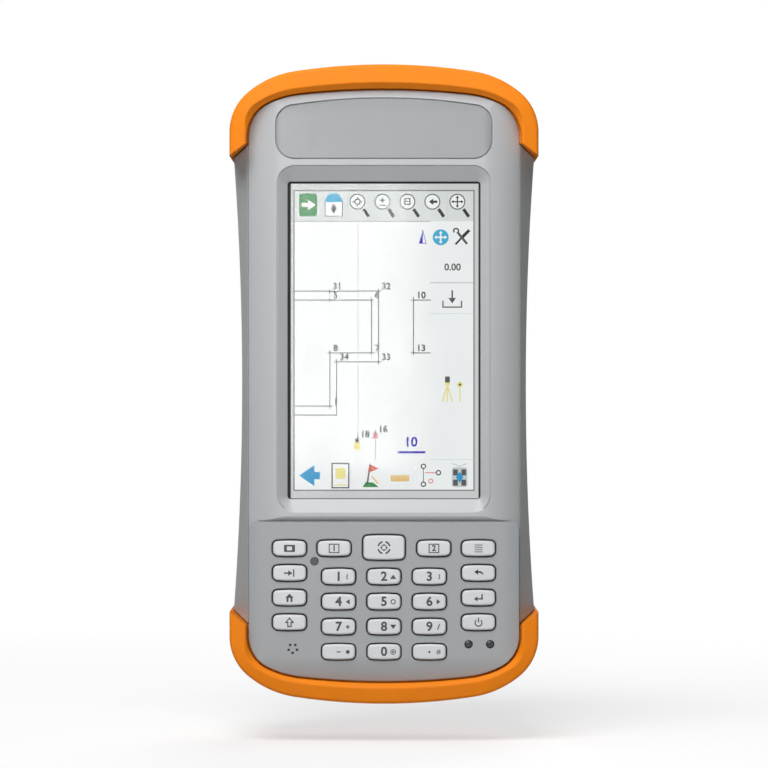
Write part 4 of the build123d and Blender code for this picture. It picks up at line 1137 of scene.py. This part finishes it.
def belt_stitches(mesh):
    """Crossed boxes of stitches: by the pin on both sides, and by the bar through the tail."""
    half_width, above_cloth, tail_cover, parts = 15.5, 0.08, 1.05, 8
    by_pin, by_bar = (pin.z - 14.5, pin.z - 5.0), (bar_z + 9.0, bar_z + 21.0)
    for side, (low_z, high_z), cover in ((1, by_pin, 0.0), (-1, by_pin, 0.0), (1, by_bar, tail_cover)):
        a, b = Vector((-half_width, low_z)), Vector((half_width, low_z))
        c, d = Vector((half_width, high_z)), Vector((-half_width, high_z))
        for start, end in ((a, b), (b, c), (c, d), (d, a), (a, c), (b, d)):
            line = []
            for k in range(parts + 1):
                x, z = start.lerp(end, k / parts)
                surface = layer_gap(z) + belt_thickness / 2 + cover + above_cloth
                line.append(Vector((x, strap_y(z) + side * surface, z)))
            stitch_row(mesh, line)


belt_weave = webbing("strap_webbing", (0.028, 0.029, 0.032))
sleeve_knit = knit("sleeve_knit", (0.030, 0.031, 0.034))
thread_grey = thread("strap_thread", (0.16, 0.165, 0.17))
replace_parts(belt(belt_weave), "hand_strap")
tail(belt_weave)
sleeve_points = padded_sleeve(sleeve_knit)
sleeve_binding(belt_weave)
stitches = bmesh.new()
sleeve_stitches(stitches, sleeve_points)
belt_stitches(stitches)
strap_piece(stitches, "strap_stitching", thread_grey)


# -------- light and camera

whole_low, whole_high = (Vector(corner) / MM for corner in cad_box)
whole_middle = (whole_low + whole_high) / 2


def softbox(name, place, width, height, power):
    """A rectangular area light, aimed at the object. Places are millimetres, power is watts."""
    data = bpy.data.lights.new(name, "AREA")
    data.shape = "RECTANGLE"
    data.size, data.size_y = width * MM, height * MM
    data.energy = power
    lamp = add_object(name, data)
    lamp.location = Vector(place) * MM
    lamp.rotation_euler = (whole_middle - Vector(place)).to_track_quat("-Z", "Y").to_euler()


def by_ray(g, lighting, seen):
    """One shader for the rays that light the scene, and another for those the camera sends out."""
    camera_ray = g.add("LightPath").outputs["Is Camera Ray"]
    return g.add("MixShader", {0: camera_ray, 1: lighting, 2: seen}).outputs[0]


def white_sweep(strength, side_dark):
    """A world that the camera sees as pure white. It lights the object as a grey room, dark at both sides."""
    world = bpy.data.worlds.new("studio")
    g = Graph("studio", world)
    toward = g.add("TexCoord").outputs["Generated"]
    parts = g.add("SeparateXYZ", {0: toward})
    upward = g.ramp(parts.outputs["Z"], -0.6, 0.8, 0.45, 1.0)
    sideways = g.ramp(g.math("ABSOLUTE", parts.outputs["X"]), 0.35, 0.95, 1.0, 1.0 - side_dark)
    glow = g.times(g.times(upward, sideways), strength)
    room = g.add("Background", {"Color": (1, 1, 1, 1), "Strength": glow})
    white = g.add("Background", {"Color": (1, 1, 1, 1)})
    g.add("OutputWorld", {"Surface": by_ray(g, room.outputs[0], white.outputs[0])})
    scene.world = world


def pale_floor(below):
    """A wide pale floor, far enough below the object for its port flap to hang open."""
    g = Graph("floor_paper")
    tone = g.ramp(g.noise(160.0, 3.0), 0.3, 0.7, 0.42, 0.45)
    paper = g.add("BsdfDiffuse", {"Color": tone}).outputs[0]
    glow = g.add("Emission", {"Strength": 0.55}).outputs[0]
    lifted = g.add("AddShader", {0: paper, 1: glow}).outputs[0]
    white = g.add("Emission", {"Strength": 1.0}).outputs[0]
    spread = g.add("VectorMath", {0: g.place}, operation="LENGTH").outputs["Value"]
    fading = g.add("MixShader", {0: g.ramp(spread, 0.10, 0.45), 1: lifted, 2: white})
    material = g.output(by_ray(g, paper, fading.outputs[0]))
    mesh = bmesh.new()
    bmesh.ops.create_grid(mesh, x_segments=8, y_segments=8, size=3.0)
    data = bpy.data.meshes.new("floor")
    mesh.to_mesh(data)
    mesh.free()
    data.materials.append(material)
    floor = add_object("floor", data)
    floor.location.z = (whole_low.z - below) * MM


def camera(height_seen, lens=150.0):
    """A long lens square to the screen, with the object's middle in the middle."""
    data = bpy.data.cameras.new("camera")
    data.lens = lens
    data.clip_start, data.clip_end = 0.01, 20
    distance = height_seen * lens / data.sensor_width
    eye = add_object("camera", data)
    eye.location = Vector((whole_middle.x, whole_low.y - distance, whole_middle.z)) * MM
    eye.rotation_euler = (math.pi / 2, 0, 0)
    scene.camera = eye


softbox("key_above", (-150, -420, 720), width=520, height=380, power=5.2)
softbox("front_fill", (-110, -1150, 230), width=260, height=380, power=4.2)
softbox("rear_rim", (200, 600, 500), width=500, height=500, power=3.0)
white_sweep(strength=0.14, side_dark=0.85)
pale_floor(below=12.0)
camera(height_seen=1.199 * (whole_high.z - whole_low.z))

scene.view_settings.view_transform = "Standard"
scene.cycles.use_denoising = True
